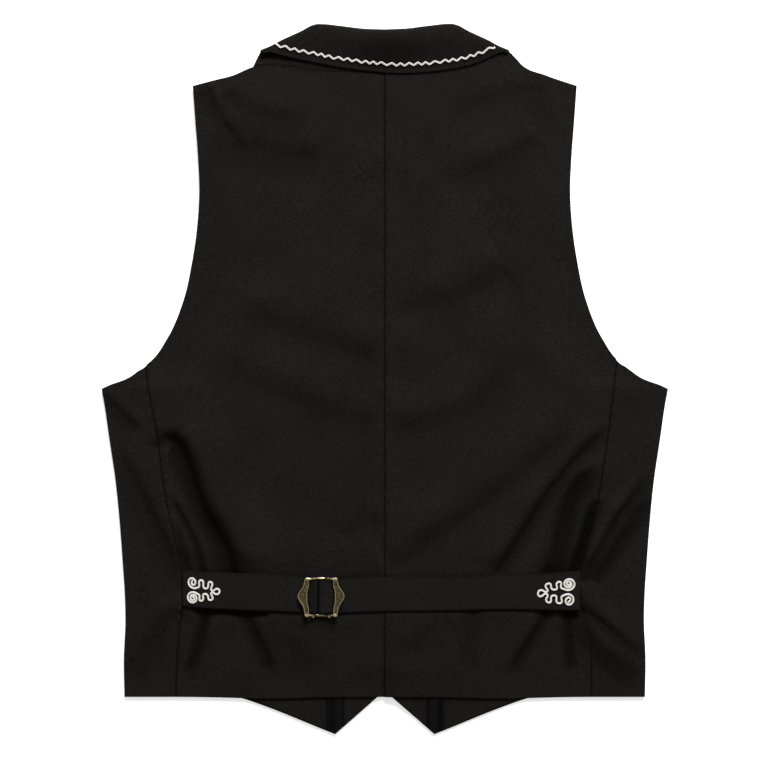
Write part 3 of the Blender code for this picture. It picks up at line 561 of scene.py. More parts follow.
def back_under(x, drop, depth_share):
    """The folded underside of the back, never lower than the fronts it lies on."""
    deepest_share, least_room, flat_rise, deeper_by_belt, sinking = 0.95, 1e-6, 1.2, 0.4, 85.0
    ripple_height, ripple_seed, ripple_count, shortest, longest = 0.3, 11, 14, 38.0, 120.0
    base = back_under_smooth(x, drop)
    room = deepest_share * (base - back_support(x, drop)) + least_room
    free = belt_clear(x, drop)
    hollow, crest, _ = creases(x, drop)
    hollow = room * np.tanh(depth_share * hollow * (1 + deeper_by_belt * (1 - free)) / room)
    loose = ease(room / flat_rise)
    waves = ripple_height * ripples(x, drop, ripple_seed, ripple_count, shortest, longest) * loose
    raised = (depth_share * crest + waves + seam_pucker(x, drop) * loose) * free
    folded = base - hollow + raised + belt_bulge(x, drop) + hem_print(drop) * free
    hem = np.clip((drop - HEM_DROP + sinking) / sinking, 0, 1)
    return between(folded, np.minimum(folded, hem_rest(x, drop)), hem)


def hem_line(half):
    """The back's hem, which bows down a little over the points."""
    bow, bow_half, bow_width = 1.6, 105.0, 45.0
    return HEM_DROP + bow * bell(half - bow_half, bow_width)


# Making meshes


def place(x, drop, z):
    """Points in millimetres, from x, drop and height."""
    return np.stack(np.broadcast_arrays(x, LENGTH / 2 - drop, z), axis=-1)


def new_piece(name, points, faces, finish, nodes):
    """A smooth closed piece that stands for solids and rides on the vest."""
    mesh = bpy.data.meshes.new(name)
    mesh.from_pydata((points * MM).tolist(), [], faces)
    shape = bmesh.new()
    shape.from_mesh(mesh)
    bmesh.ops.recalc_face_normals(shape, faces=shape.faces)
    shape.to_mesh(mesh)
    shape.free()
    mesh.shade_smooth()
    mesh.materials.append(finish)
    piece = bpy.data.objects.new(name, mesh)
    bpy.context.scene.collection.objects.link(piece)
    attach(piece, BODY)
    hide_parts(*nodes)
    return piece


def add_values(piece, name, values):
    """A number for each point of a piece, for its finish to read."""
    held = piece.data.attributes.new(name, "FLOAT", "POINT")
    held.data.foreach_set("value", np.asarray(values, np.float32).ravel())


def add_shade(piece, shade):
    """The painted shade of a cloth piece's grid, for both its sides, kept as its fold attribute."""
    add_values(piece, "fold", np.concatenate([shade.ravel(), shade[1:-1, 1:-1].ravel()]))


def spaced(length, step, rounding):
    """Shares of a length: close at both edges, where cloth rounds over, and even between them."""
    edge = rounding * EDGE_PLACES
    count = max(2, round((length - 2 * edge[-1]) / step) + 1)
    inner = np.linspace(edge[-1], length - edge[-1], count)
    return np.concatenate([edge[:-1], inner, length - edge[-2::-1]]) / length


def patch(bottom, top, inner, outer, across, up):
    """A grid of x and drop between four edges, each a function of the shares of its length."""
    u, v = across[None, :, None], up[:, None, None]
    low, high = bottom(across)[None], top(across)[None]
    ruled_up = between(low, high, v)
    ruled_across = between(inner(up)[:, None], outer(up)[:, None], u)
    corners = between(between(low[:, :1], low[:, -1:], u), between(high[:, :1], high[:, -1:], u), v)
    return ruled_up + ruled_across - corners


def mirrored(plan, side):
    """A plan of half widths, turned to its own side."""
    return plan * (sign_of(side), 1.0)


def border_distance(middle):
    """How far each point of a grid is from the grid's edge, along its rows and columns."""
    away = []
    for axis in (0, 1):
        steps = np.linalg.norm(np.diff(middle, axis=axis), axis=2)
        pad = ((1, 0), (0, 0)) if axis == 0 else ((0, 0), (1, 0))
        run = np.pad(np.cumsum(steps, axis=axis), pad)
        away += [run, run.take([-1], axis=axis) - run]
    return np.minimum.reduce(away)


def surface_normals(middle):
    """The unit normals of a grid of points."""
    normals = np.cross(np.gradient(middle, axis=1), np.gradient(middle, axis=0))
    return normals / np.linalg.norm(normals, axis=2)[..., None]


def grid_quads(grid):
    return np.stack([grid[:-1, :-1], grid[:-1, 1:], grid[1:, 1:], grid[1:, :-1]], axis=-1).reshape(-1, 4)


def cloth_shell(node, middle, thickness, rounding, slot="cloth"):
    """A closed cloth wall about a grid of middle points, rounded over at its edges."""
    rows, columns = middle.shape[:2]
    bend = 1 - np.clip(border_distance(middle) / rounding, 0, 1)
    half = (thickness / 2 * np.sqrt(1 - bend * bend))[..., None]
    normals = surface_normals(middle)
    upper, lower = middle + normals * half, middle - normals * half
    top = np.arange(rows * columns).reshape(rows, columns)
    bottom = top.copy()
    bottom[1:-1, 1:-1] = rows * columns + np.arange((rows - 2) * (columns - 2)).reshape(rows - 2, -1)
    points = np.concatenate([upper.reshape(-1, 3), lower[1:-1, 1:-1].reshape(-1, 3)])
    faces = np.concatenate([grid_quads(top), grid_quads(bottom)[:, ::-1]])
    finish = lining_finish() if slot == "lining" else wool_finish()
    return new_piece(node + "_cloth", points, faces.tolist(), finish, [node])


def sewn_panel(node, plan, rise, cloth, rounding, slot="cloth"):
    """A panel of cloth over its plan, with its middle at the rise."""
    piece = cloth_shell(node, place(plan[..., 0], plan[..., 1], rise), cloth, rounding, slot)
    return piece


def loft(sections, closed):
    """Faces through sections that are loops of points, with caps unless the sections close up."""
    count, corners = sections.shape[:2]
    faces = []
    for s in range(count if closed else count - 1):
        one, two = s * corners, (s + 1) % count * corners
        for k in range(corners):
            faces.append([one + k, one + (k + 1) % corners, two + (k + 1) % corners, two + k])
    if not closed:
        faces += [list(range(corners)), list(range((count - 1) * corners, count * corners))]
    return faces


def laid_cord(node, points, normals, width, height):
    """A flat cord of two rounded plies on a surface, along points of it."""
    across = np.array([-1, -0.93, -0.75, -0.5, -0.25, -0.09, 0, 0.09, 0.25, 0.5, 0.75, 0.93, 1])
    side_height, ply, foot = 0.34, 0.5, 0.9
    crown = np.sqrt(np.clip(1 - ((np.abs(across) - ply) / ply) ** 2, 0, 1))
    upper = pairs(across, between(side_height, 1, crown))
    outline = np.concatenate([upper, [(foot, 0.0), (-foot, 0.0)]])
    tangents = np.gradient(points, axis=0)
    sideways = np.cross(normals, tangents)
    sideways *= width / 2 / np.linalg.norm(sideways, axis=1)[:, None]
    out, up = outline[None, :, :1], outline[None, :, 1:]
    sections = points[:, None] + sideways[:, None] * out + normals[:, None] * height * up
    faces = loft(sections, False)
    piece = new_piece(node + "_cord", sections.reshape(-1, 3), faces, braid_finish(), [node])
    add_values(piece, "along", np.repeat(run_along(points), len(outline)) * MM)
    add_values(piece, "across", np.tile(outline[:, 0], len(points)) * width / 2 * MM)


# Finishes


def add_node(tree, kind, inputs=None, **settings):
    """A shader node with its settings and the values or links of its inputs."""
    node = tree.nodes.new(kind)
    for key, value in settings.items():
        setattr(node, key, value)
    set_inputs(tree, node, inputs or {})
    return node


def set_inputs(tree, node, inputs):
    """Gives a node's inputs their values, or their links from other nodes."""
    for key, value in inputs.items():
        if isinstance(value, bpy.types.NodeSocket):
            tree.links.new(value, node.inputs[key])
        else:
            node.inputs[key].default_value = value


def attribute(tree, name):
    """A measure that a mesh keeps for each of its points."""
    return add_node(tree, "ShaderNodeAttribute", attribute_name=name).outputs["Fac"]


def object_place(tree):
    return add_node(tree, "ShaderNodeTexCoord").outputs["Object"]


def math_node(tree, operation, *values):
    return add_node(tree, "ShaderNodeMath", dict(enumerate(values)), operation=operation).outputs[0]


def new_group(name, inputs, outputs):
    """A shader node group with sockets, all values but for Color, and its input and output nodes."""
    tree = bpy.data.node_groups.new(name, "ShaderNodeTree")
    for way, titles in (("INPUT", inputs), ("OUTPUT", outputs)):
        for title in titles:
            kind = "NodeSocketColor" if title == "Color" else "NodeSocketFloat"
            tree.interface.new_socket(title, in_out=way, socket_type=kind)
    return tree, tree.nodes.new("NodeGroupInput"), tree.nodes.new("NodeGroupOutput")


def noise(tree, spot, scale, detail):
    """A noise pattern with one scale, or with a scale for each axis."""
    if isinstance(scale, tuple):
        spot = add_node(tree, "ShaderNodeMapping", {"Vector": spot, "Scale": scale}).outputs["Vector"]
        scale = 1.0
    node = add_node(tree, "ShaderNodeTexNoise", {"Vector": spot, "Scale": scale, "Detail": detail})
    return node.outputs["Fac"]


def cloth_grain():
    """Twill lines, thick and thin yarns, flecks, a cloudy nap and long streaks, as a colour and a height."""
    name = "Cloth Grain"
    if name in bpy.data.node_groups:
        return bpy.data.node_groups[name]
    fold_dark, least_shade, twill_height, fleck_gloss, distortion = -0.62, 0.2, 0.6, 0.12, 0.6
    warp_scale, weft_scale, streak_scale = (1400.0, 330.0, 400.0), (330.0, 1400.0, 400.0), (520.0, 7.0, 90.0)
    fleck_scale, nap_scale = 1000.0, 22.0
    tree, given, out = new_group(
        name, ("Color", "Twill Scale", "Fleck", "Nap", "Matte", "Streak"), ("Color", "Roughness", "Height"),
    )
    spot = object_place(tree)
    twill = add_node(
        tree, "ShaderNodeTexWave",
        {"Vector": spot, "Scale": given.outputs["Twill Scale"], "Distortion": distortion},
        bands_direction="DIAGONAL",
    ).outputs["Fac"]
    warp = noise(tree, spot, warp_scale, detail=2.0)
    weft = noise(tree, spot, weft_scale, detail=2.0)
    fleck = noise(tree, spot, fleck_scale, detail=2.0)
    # Long streaks in the colour, used on the lining only: painted sheen of its sateen.
    streak = noise(tree, spot, streak_scale, detail=1.0)
    nap = noise(tree, spot, nap_scale, detail=3.0)
    yarn = math_node(tree, "ADD", warp, weft)
    grain = math_node(tree, "SUBTRACT", math_node(tree, "ADD", yarn, fleck), 3 * NOISE_MEAN)
    shade = math_node(tree, "MULTIPLY", grain, given.outputs["Fleck"])
    for pattern, strength in ((nap, "Nap"), (streak, "Streak")):
        uneven = math_node(tree, "SUBTRACT", pattern, NOISE_MEAN)
        shade = math_node(tree, "ADD", shade, math_node(tree, "MULTIPLY", uneven, given.outputs[strength]))
    shade = math_node(tree, "MAXIMUM", math_node(tree, "ADD", shade, 1.0), least_shade)
    # The fold attribute is painted shade, darkening the colour in creases, seams, pleats, collar and belt.
    fold = attribute(tree, "fold")
    shade = math_node(tree, "MULTIPLY", shade, math_node(tree, "MULTIPLY_ADD", fold, fold_dark, 1.0))
    tint = add_node(tree, "ShaderNodeHueSaturation", {"Color": given.outputs["Color"], "Value": shade})
    height = math_node(tree, "ADD", math_node(tree, "MULTIPLY", twill, twill_height), yarn)
    gloss = math_node(tree, "MULTIPLY", fleck, fleck_gloss)
    rough = math_node(tree, "SUBTRACT", given.outputs["Matte"], gloss)
    set_inputs(tree, out, {"Color": tint.outputs["Color"], "Roughness": rough, "Height": height})
    return tree


def plied_thread():
    """Slanting stitches of a braid, from its own measures along and across, as a colour and a height."""
    name = "Plied Thread"
    if name in bpy.data.node_groups:
        return bpy.data.node_groups[name]
    stitch_shade, dark_shade, soil_shade, soil_scale = 0.16, 0.76, 0.16, 240.0
    tree, given, out = new_group(name, ("Color", "Pitch"), ("Color", "Height"))
    across = math_node(tree, "ABSOLUTE", attribute(tree, "across"))
    slant = math_node(tree, "ADD", attribute(tree, "along"), across)
    turns = math_node(tree, "DIVIDE", slant, given.outputs["Pitch"])
    wave = math_node(tree, "SINE", math_node(tree, "MULTIPLY", turns, math.tau))
    height = math_node(tree, "MULTIPLY_ADD", wave, 0.5, 0.5)
    soil = noise(tree, object_place(tree), soil_scale, detail=3.0)
    # The colour follows the stitches' height, as painted shade in the grooves between them.
    shade = math_node(tree, "MULTIPLY_ADD", height, stitch_shade, dark_shade)
    shade = math_node(tree, "MULTIPLY_ADD", soil, soil_shade, shade)
    tint = add_node(tree, "ShaderNodeHueSaturation", {"Color": given.outputs["Color"], "Value": shade})
    set_inputs(tree, out, {"Color": tint.outputs["Color"], "Height": height})
    return tree


def worn_edge():
    """Where handling has rubbed a hard surface bright, from its own measure of wear."""
    name = "Worn Edge"
    if name in bpy.data.node_groups:
        return bpy.data.node_groups[name]
    tree, given, out = new_group(name, ("Patch Scale", "Spread"), ("Worn", "Height"))
    rub = noise(tree, object_place(tree), given.outputs["Patch Scale"], detail=4.0)
    uneven = math_node(tree, "SUBTRACT", rub, NOISE_MEAN)
    ragged = math_node(tree, "MULTIPLY", uneven, given.outputs["Spread"])
    worn = math_node(tree, "ADD", attribute(tree, "wear"), ragged)
    worn = add_node(tree, "ShaderNodeClamp", {"Value": worn}).outputs[0]
    set_inputs(tree, out, {"Worn": worn, "Height": rub})
    return tree


def new_finish(name):
    """A new material with its tree and shader."""
    material = bpy.data.materials.new(name)
    material.use_nodes = True
    return material, material.node_tree, material.node_tree.nodes["Principled BSDF"]


def bump(tree, height, strength, distance):
    node = add_node(tree, "ShaderNodeBump", {"Height": height, "Strength": strength, "Distance": distance})
    return node.outputs["Normal"]


def worn_color(tree, patch_scale, spread, hollow, rubbed):
    """The node of the worn edge, and its blend of the colours in the hollows and where it is rubbed."""
    group = add_node(
        tree, "ShaderNodeGroup", {"Patch Scale": patch_scale, "Spread": spread}, node_tree=worn_edge(),
    )
    share, first, second, mixed = 0, 6, 7, 2
    blend = add_node(
        tree, "ShaderNodeMix",
        {share: group.outputs["Worn"], first: (*hollow, 1), second: (*rubbed, 1)},
        data_type="RGBA",
    )
    return group, blend.outputs[mixed]


def woven_finish(name, color, fleck, nap, streak, matte, specular):
    """A woven cloth, more or less matte."""
    if name in bpy.data.materials:
        return bpy.data.materials[name]
    strength, distance, phase_a_unit = 0.35, 0.00025, 10
    material, tree, shader = new_finish(name)
    twill_scale = math.tau / (phase_a_unit * bpy.context.scene.vest_sizes.twill_pitch)
    group = add_node(
        tree, "ShaderNodeGroup",
        {"Color": (*color, 1), "Twill Scale": twill_scale, "Fleck": fleck, "Nap": nap, "Matte": matte,
         "Streak": streak},
        node_tree=cloth_grain(),
    )
    set_inputs(tree, shader, {
        "Base Color": group.outputs["Color"], "Roughness": group.outputs["Roughness"],
        "Normal": bump(tree, group.outputs["Height"], strength, distance), "Specular IOR Level": specular,
    })
    return material


def wool_finish():
    return woven_finish(
        "dark_wool", bpy.context.scene.vest_colors.cloth, fleck=1.15, nap=0.5, streak=0.0, matte=0.98,
        specular=0.03,
    )


def lining_finish():
    # Its streak paints sheen into the lining's colour.
    return woven_finish(
        "lining_sateen", bpy.context.scene.vest_colors.lining, fleck=0.5, nap=0.3, streak=1.5, matte=0.6,
        specular=0.04,
    )


def braid_finish():
    """White braid with slanting stitches."""
    name = "white_braid"
    if name in bpy.data.materials:
        return bpy.data.materials[name]
    strength, distance = 0.6, 0.00012
    material, tree, shader = new_finish(name)
    color, pitch = bpy.context.scene.vest_colors.braid, bpy.context.scene.vest_sizes.stitch_pitch
    group = add_node(
        tree, "ShaderNodeGroup", {"Color": (*color, 1), "Pitch": pitch}, node_tree=plied_thread(),
    )
    set_inputs(tree, shader, {
        "Base Color": group.outputs["Color"], "Roughness": 0.7, "Specular IOR Level": 0.25,
        "Normal": bump(tree, group.outputs["Height"], strength, distance),
    })
    return material


def brass_finish():
    """Antique brass: dark in the hollows and bright where it is rubbed."""
    name = "antique_brass"
    if name in bpy.data.materials:
        return bpy.data.materials[name]
    patch_scale, spread, strength, distance = 420.0, 0.7, 0.25, 0.00015
    hollow_rough, rubbed_gloss = 0.54, -0.16
    material, tree, shader = new_finish(name)
    colors = bpy.context.scene.vest_colors
    group, color = worn_color(tree, patch_scale, spread, colors.brass_hollow, colors.brass_worn)
    rough = math_node(tree, "MULTIPLY_ADD", group.outputs["Worn"], rubbed_gloss, hollow_rough)
    set_inputs(tree, shader, {
        "Base Color": color, "Roughness": rough, "Metallic": 1.0,
        "Normal": bump(tree, group.outputs["Height"], strength, distance),
    })
    return material


def button_finish():
    """Dark horn-like plastic with a rubbed rim."""
    name = "button_plastic"
    if name in bpy.data.materials:
        return bpy.data.materials[name]
    patch_scale, spread, darker, lighter, strength, distance = 300.0, 0.8, 0.7, 1.8, 0.1, 0.0001
    material, tree, shader = new_finish(name)
    plain = np.array(bpy.context.scene.vest_colors.button)
    group, color = worn_color(tree, patch_scale, spread, plain * darker, plain * lighter)
    set_inputs(tree, shader, {
        "Base Color": color, "Roughness": 0.32,
        "Normal": bump(tree, group.outputs["Height"], strength, distance),
    })
    return material


# The panels of the body


def back_plan(side, step, rounding):
    """A back half, from the centre back seam to the side back seam and the armhole."""
    seam_top = SEAM_TOP_DROP[side]

    def bottom(u):
        half = between(0.0, BACK_SEAM[side][-1], u)
        return pairs(half, hem_line(half))

    def top(u):
        x = between(0.0, SHOULDER_HALF, u)
        return pairs(x, smooth(SHOULDER_LINE[side], "half_width", "drop", x))

    def inner(v):
        return pairs(0.0, between(HEM_DROP, NECK_DROP, v))

    def outer(v):
        drop = between(HEM_DROP, SHOULDER_TIP_DROP, v)
        arm = smooth(ARMHOLE, "drop", "half_width", drop)
        seam = smooth(BACK_SEAM, "drop", side, drop)
        return pairs(np.where(drop < seam_top - SEAM, arm, seam), drop)

    across = spaced(SHOULDER_HALF, step, rounding)
    up = spaced(HEM_DROP - SHOULDER_TIP_DROP, step, rounding)
    return mirrored(patch(bottom, top, inner, outer, across, up), side)


def side_plan(side, step, rounding):
    """A side panel, from the side back seam to the side seam."""
    seam_top, corner_share = SEAM_TOP_DROP[side], 0.25

    def bottom(u):
        return pairs(between(BACK_SEAM[side][-1], HEM_HALF, u), HEM_DROP)

    def top(u):
        drop = between(seam_top, UNDERARM_DROP, u)
        x = smooth(ARMHOLE, "drop", "half_width", drop)
        seam = smooth(BACK_SEAM, "drop", side, seam_top)
        return pairs(between(seam, x, ease(u / corner_share)), drop)

    def inner(v):
        drop = between(HEM_DROP, seam_top, v)
        return pairs(smooth(BACK_SEAM, "drop", side, drop), drop)

    def outer(v):
        drop = between(HEM_DROP, UNDERARM_DROP, v)
        return pairs(smooth(SIDE_SEAM, "drop", "half_width", drop), drop)

    across = spaced(HEM_HALF - BACK_SEAM[side][-1], step, rounding)
    up = spaced(HEM_DROP - seam_top, step, rounding)
    return mirrored(patch(bottom, top, inner, outer, across, up), side)


def back_panels(sizes, name, plan_of):
    """The left and the right panel of one part of the back, with their folds and their painted shade."""
    step, rounding = sizes.mesh_step / MM, sizes.rounding / MM
    for side in SIDES:
        plan = plan_of(side, step, rounding)
        x, drop = plan[..., 0], plan[..., 1]
        rise = back_under(x, drop, sizes.crease_depth) + CLOTH / 2
        piece = sewn_panel(f"{name}_{side}", plan, rise, CLOTH, rounding)
        add_shade(piece, fold_shade(x, drop))


def front_plan(side, step, rounding):
    """A front, from its edge and point to the side seam, and up to the shoulder."""
    hidden, scoop_depth, scoop_share, gorge_share = 0.4, 2.6, 0.25, 0.1
    neck = NECK_POINT[side]
    neck_drop = smooth(SHOULDER_LINE[side], "half_width", "drop", neck)

    def bottom(u):
        x = between(POINT_HALF, HEM_HALF - hidden, u)
        return pairs(x, smooth(FRONT_HEM, "half_width", "drop", x))

    def top(u):
        x = between(neck, SHOULDER_HALF, u)
        return pairs(x, smooth(SHOULDER_LINE[side], "half_width", "drop", x) + hidden)

    def inner(v):
        drop = between(LENGTH, neck_drop + hidden, v)
        x = np.interp(drop, FRONT_EDGE["drop"], FRONT_EDGE["half_width"])
        return pairs(between(x, neck, ease((v - 1) / gorge_share + 1)), drop)

    def outer(v):
        drop = between(FRONT_HEM_DROP, SHOULDER_TIP_DROP + hidden, v)
        seam = smooth(SIDE_SEAM, "drop", "half_width", drop) - hidden
        down = np.clip((drop - SHOULDER_TIP_DROP) / (UNDERARM_DROP - SHOULDER_TIP_DROP), 0, 1)
        cut_back = (hidden + scoop_depth * np.sin(math.pi * down)) * np.minimum(1, down / scoop_share)
        arm = smooth(ARMHOLE, "drop", "half_width", drop) - cut_back
        return pairs(np.where(drop > UNDERARM_DROP, seam, arm), drop)

    across = spaced(HEM_HALF, step, rounding)
    up = spaced(LENGTH - SHOULDER_TIP_DROP, step, rounding)
    return mirrored(patch(bottom, top, inner, outer, across, up), side)


def point_plan(side, halves, step, rounding):
    """A piece inside a front's point, from under the back's hem to the front's edge."""
    tuck, margin = 4.0, 1.2
    hem = smooth(FRONT_HEM, "half_width", "drop", halves)
    edge = np.interp(halves, FRONT_EDGE["half_width"][2:], FRONT_EDGE["drop"][2:])
    low = np.where(halves > POINT_HALF, hem, edge) - margin
    high = HEM_DROP - tuck
    down = spaced(LENGTH - high, step, rounding)[:, None]
    return mirrored(pairs(halves, between(high, low, down)), side)


def lapel_plan(side, step, rounding):
    """A lapel turned back on the outside of a front."""
    top_drop, low_drop, notch_drop, roll_margin, usual_width = 44.0, 262.0, 57.0, 0.5, 60.0

    def inner(v):
        drop = between(low_drop, top_drop, v)
        return pairs(np.interp(drop, FRONT_EDGE["drop"], FRONT_EDGE["half_width"]) + roll_margin, drop)

    def outer(v):
        drop = between(low_drop, notch_drop, v)
        return pairs(smooth(LAPEL_EDGE, "drop", "half_width", drop), drop)

    def bottom(u):
        return between(inner(np.zeros(1)), outer(np.zeros(1)), u[:, None])

    def top(u):
        return between(inner(np.ones(1)), outer(np.ones(1)), u[:, None])

    across = spaced(usual_width, step, rounding)
    up = spaced(low_drop - top_drop, step, rounding)
    return mirrored(patch(bottom, top, inner, outer, across, up), side)


# The collar


def collar_lines(t):
    """The roll, the fall's edge and the neck seam, where t runs from -1 at the left to 1."""
    side = "left" if t < 0 else "right"
    seam_gap = -0.25
    lines = []
    for rows, end, gap in (
        (ROLL_LINE, ROLL_LINE["half_width"][-1], 0.0),
        (FALL_EDGE[side], FALL_EDGE[side]["half_width"][-1], 0.0),
        (SHOULDER_LINE[side], NECK_POINT[side] - seam_gap, seam_gap),
    ):
        x = end * abs(t)
        lines.append(np.array([x * sign_of(side), smooth(rows, "half_width", "drop", x) - gap]))
    return lines


def collar_section(t, fall_shares, roll_steps, stand_shares):
    """The middle of the collar's cloth, from the fall's edge over the roll to the neck seam."""
    clear, least_fall, left_lift, right_lift = 0.45, 0.5, 1.4, 0.5
    least_rise, middle_rise, middle, spread, squareness = 2.4, 6.8, 0.08, 0.5, 0.5
    end_loss, end_start, left_start, right_start = 0.85, 0.7, 0.6, 0.7
    roll_rise = least_rise + middle_rise * bell(t - middle, spread)
    roll_rise *= 1 - end_loss * ease((abs(t) - end_start) / (1 - end_start))
    roll, fall, seam = collar_lines(t)
    half = COLLAR_CLOTH / 2
    seam_height = float(back_under_smooth(seam[0], seam[1])) + half
    flat_height = seam_height + COLLAR_CLOTH + clear
    lift = left_lift * ease((-t - left_start) / (1 - left_start))
    lift += right_lift * ease((t - right_start) / (1 - right_start))
    fall_height = flat_height + lift
    top_height, low_height = max(flat_height + roll_rise, fall_height), half
    radius = (top_height - low_height) / 2
    centre = radius + half
    fall_reach = max(np.linalg.norm(fall - roll), centre + least_fall)
    seam_reach = np.linalg.norm(seam - roll)
    fall_way = (fall - roll) / np.linalg.norm(fall - roll)
    seam_way = (seam - roll) / seam_reach
    turn = math.pi * np.linspace(0.5, -0.5, roll_steps)
    depth = np.clip(np.cos(turn), 0, 1) ** squareness
    height = np.sign(np.sin(turn)) * np.abs(np.sin(turn)) ** squareness
    reach = np.concatenate([
        between(fall_reach, centre, fall_shares[:-1]), centre - radius * depth,
        between(centre, seam_reach, stand_shares[1:]),
    ])
    rise = np.concatenate([
        between(fall_height, top_height, ease(fall_shares[:-1])),
        between(low_height, top_height, 0.5) + radius * height,
        between(low_height, seam_height, ease(stand_shares[1:])),
    ])
    lean = np.concatenate([
        np.zeros(len(fall_shares) - 1), np.linspace(0, 1, roll_steps), np.ones(len(stand_shares) - 1),
    ])
    plan = roll + between(fall_way, seam_way, lean[:, None]) * reach[:, None]
    return place(plan[:, 0], plan[:, 1], rise)


def collar_middle(spread):
    """Sections of the collar's cloth at each place of its spread."""
    fall_length, stand_length = 40.0, 38.0
    fall_steps, roll_steps, stand_steps = 18, 15, 12
    edge = COLLAR_ROUNDING * EDGE_PLACES
    fall = np.concatenate([edge[:-1], np.linspace(edge[-1], fall_length, fall_steps)]) / fall_length
    inner = np.linspace(0, stand_length - edge[-1], stand_steps)
    stand = np.concatenate([inner, stand_length - edge[-2::-1]]) / stand_length
    return np.array([collar_section(t, fall, roll_steps, stand) for t in spread])


def collar_surface(t, inset):
    """A point on the collar's outer side, that far in from the fall's edge, and its normal."""
    nudge = 0.004
    near = collar_middle((t - nudge, t, t + nudge))
    normals = surface_normals(near)[1]
    normals *= np.sign(normals[0, 2])
    middle = near[1]
    along = run_along(middle)
    point = np.array([np.interp(inset, along, middle[:, k]) for k in range(3)])
    normal = np.array([np.interp(inset, along, normals[:, k]) for k in range(3)])
    normal /= np.linalg.norm(normal)
    return point + normal * COLLAR_CLOTH / 2, normal


# The back belt and its buckle


def strap_middle(path, edges, step, rounding):
    """The middle of a strap's cloth along a path of x and height over the back."""
    width = 32.0
    top, bottom = (smooth(edges, "x", edge, path[:, 0])[:, None] for edge in ("top", "bottom"))
    drop = between(top, bottom, spaced(width, step, rounding)[None, :])
    base = belt_base(np.broadcast_to(path[:, :1], drop.shape), drop)
    return place(path[:, :1], drop, base + path[:, 1:2])


def scroll_half(curl_turns, bulge):
    """Half a scroll of cord, from the tip of its leaf of lobes to the end of its curl."""
    curl_x, curl_y, curl_radius, tightening = 9.4, 7.2, 0.9, 0.75
    leaf_start, leaf_reach, leaf_half, fullness = 13.2, 17.6, 6.2, 0.62
    swing, waves = 3.2, 2.5
    spine_steps, leaf_steps, steps_a_turn = 400, 110, 40
    turn = np.linspace(0, math.pi / 2, spine_steps)
    spine = pairs(leaf_start + leaf_reach * np.cos(turn), leaf_half * np.sin(turn) ** fullness)
    run = run_along(spine)
    even = np.linspace(0, run[-1], leaf_steps)
    spine = pairs(np.interp(even, run, spine[:, 0]), np.interp(even, run, spine[:, 1]))
    way = np.gradient(spine, axis=0)
    way /= np.linalg.norm(way, axis=1)[:, None]
    outward = pairs(way[:, 1], -way[:, 0])
    phase = (math.tau * waves * even / run[-1])[:, None]
    leaf = spine + outward * swing * np.cos(phase) + way * bulge * np.sin(2 * phase)
    start = leaf[-1] - (curl_x, curl_y)
    share = np.linspace(0, 1, round(steps_a_turn * curl_turns))[1:]
    radius = between(np.hypot(*start), curl_radius, share ** tightening)
    angle = math.atan2(start[1], start[0]) - math.tau * curl_turns * share
    curl = pairs(curl_x + radius * np.cos(angle), curl_y + radius * np.sin(angle))
    return np.concatenate([leaf, curl])


def scroll_line(upper_turns, lower_turns, bulge, uneven):
    """A scroll of cord laid by hand: a curl, a leaf of five lobes, and a second curl."""
    drift, drifts_along, drifts_across = 0.35, 7, 9
    lower = scroll_half(lower_turns, bulge) * (1, -1)
    line = np.concatenate([scroll_half(upper_turns, bulge)[::-1], lower[1:]])
    turn = np.linspace(0, math.tau, len(line))
    return line + drift * pairs(
        np.sin(drifts_along * turn + uneven), np.sin(drifts_across * turn + 2 * uneven)
    )


def softened(line, reach):
    """A closed line of points with its corners rounded."""
    return sum(np.roll(line, k, axis=0) for k in range(-reach, reach + 1)) / (2 * reach + 1)


def window_half(height):
    """Half the width of the buckle's window, at a height from -1 to 1."""
    bulge_end, bulge_ramp = 0.68, 0.42
    return WINDOW_HALF + WINDOW_BULGE * ease((bulge_end - np.abs(height)) / bulge_ramp)


def window_shade(x, drop):
    """Painted shade on the belt in the buckle's window: along the window's edges and in the fold by the bar.
    """
    edge_dark, edge_width, fold_dark, fold_width, tail_dark, tail_ramp = 1.3, 1.5, 1.35, 1.5, 0.35, 3.0
    fold_top, fold_bottom = -60.3, -61.4
    height = np.clip((BUCKLE_DROP - drop) / WINDOW_HALF_HEIGHT, -1, 1)
    to_side = window_half(height) - np.abs(x - BUCKLE_X)
    to_fold = x - between(fold_bottom, fold_top, (height + 1) / 2)
    tail = tail_dark * ease(-to_fold / tail_ramp) * ease(to_side + 1)
    edge = edge_dark * bell(to_side, edge_width)
    return np.maximum.reduce([edge, tail, fold_dark * bell(to_fold, fold_width)])


def buckle_stations():
    """The inner and outer edge of the buckle's frame, all the way round."""
    slim_end, slim_ramp, taller, wing_steps, bar_steps, corner_reach = 0.8, 0.14, 0.4, 45, 29, 2
    tall = WINDOW_HALF_HEIGHT + taller
    inner, outer = [], []
    for turn, inner_slim, outer_slim in ((1, 0.1, 0.3), (-1, 0.2, 1.1)):
        for height in np.linspace(-1, 1, wing_steps):
            wing = smooth(WING_EDGE, "height", "half_width", turn * height * BUCKLE_HALF_HEIGHT)
            hole = window_half(turn * height)
            inner.append((turn * hole, turn * height * tall))
            outer.append((turn * wing, turn * height * BUCKLE_HALF_HEIGHT))
        for share in np.linspace(1, -1, bar_steps)[1:-1]:
            slim = ease((slim_end - abs(share)) / slim_ramp)
            inner.append((turn * share * WINDOW_HALF, turn * (tall + inner_slim * slim)))
            outer.append((turn * share * CORNER_HALF, turn * (BUCKLE_HALF_HEIGHT - outer_slim * slim)))
    return np.array(inner), softened(np.array(outer), corner_reach)


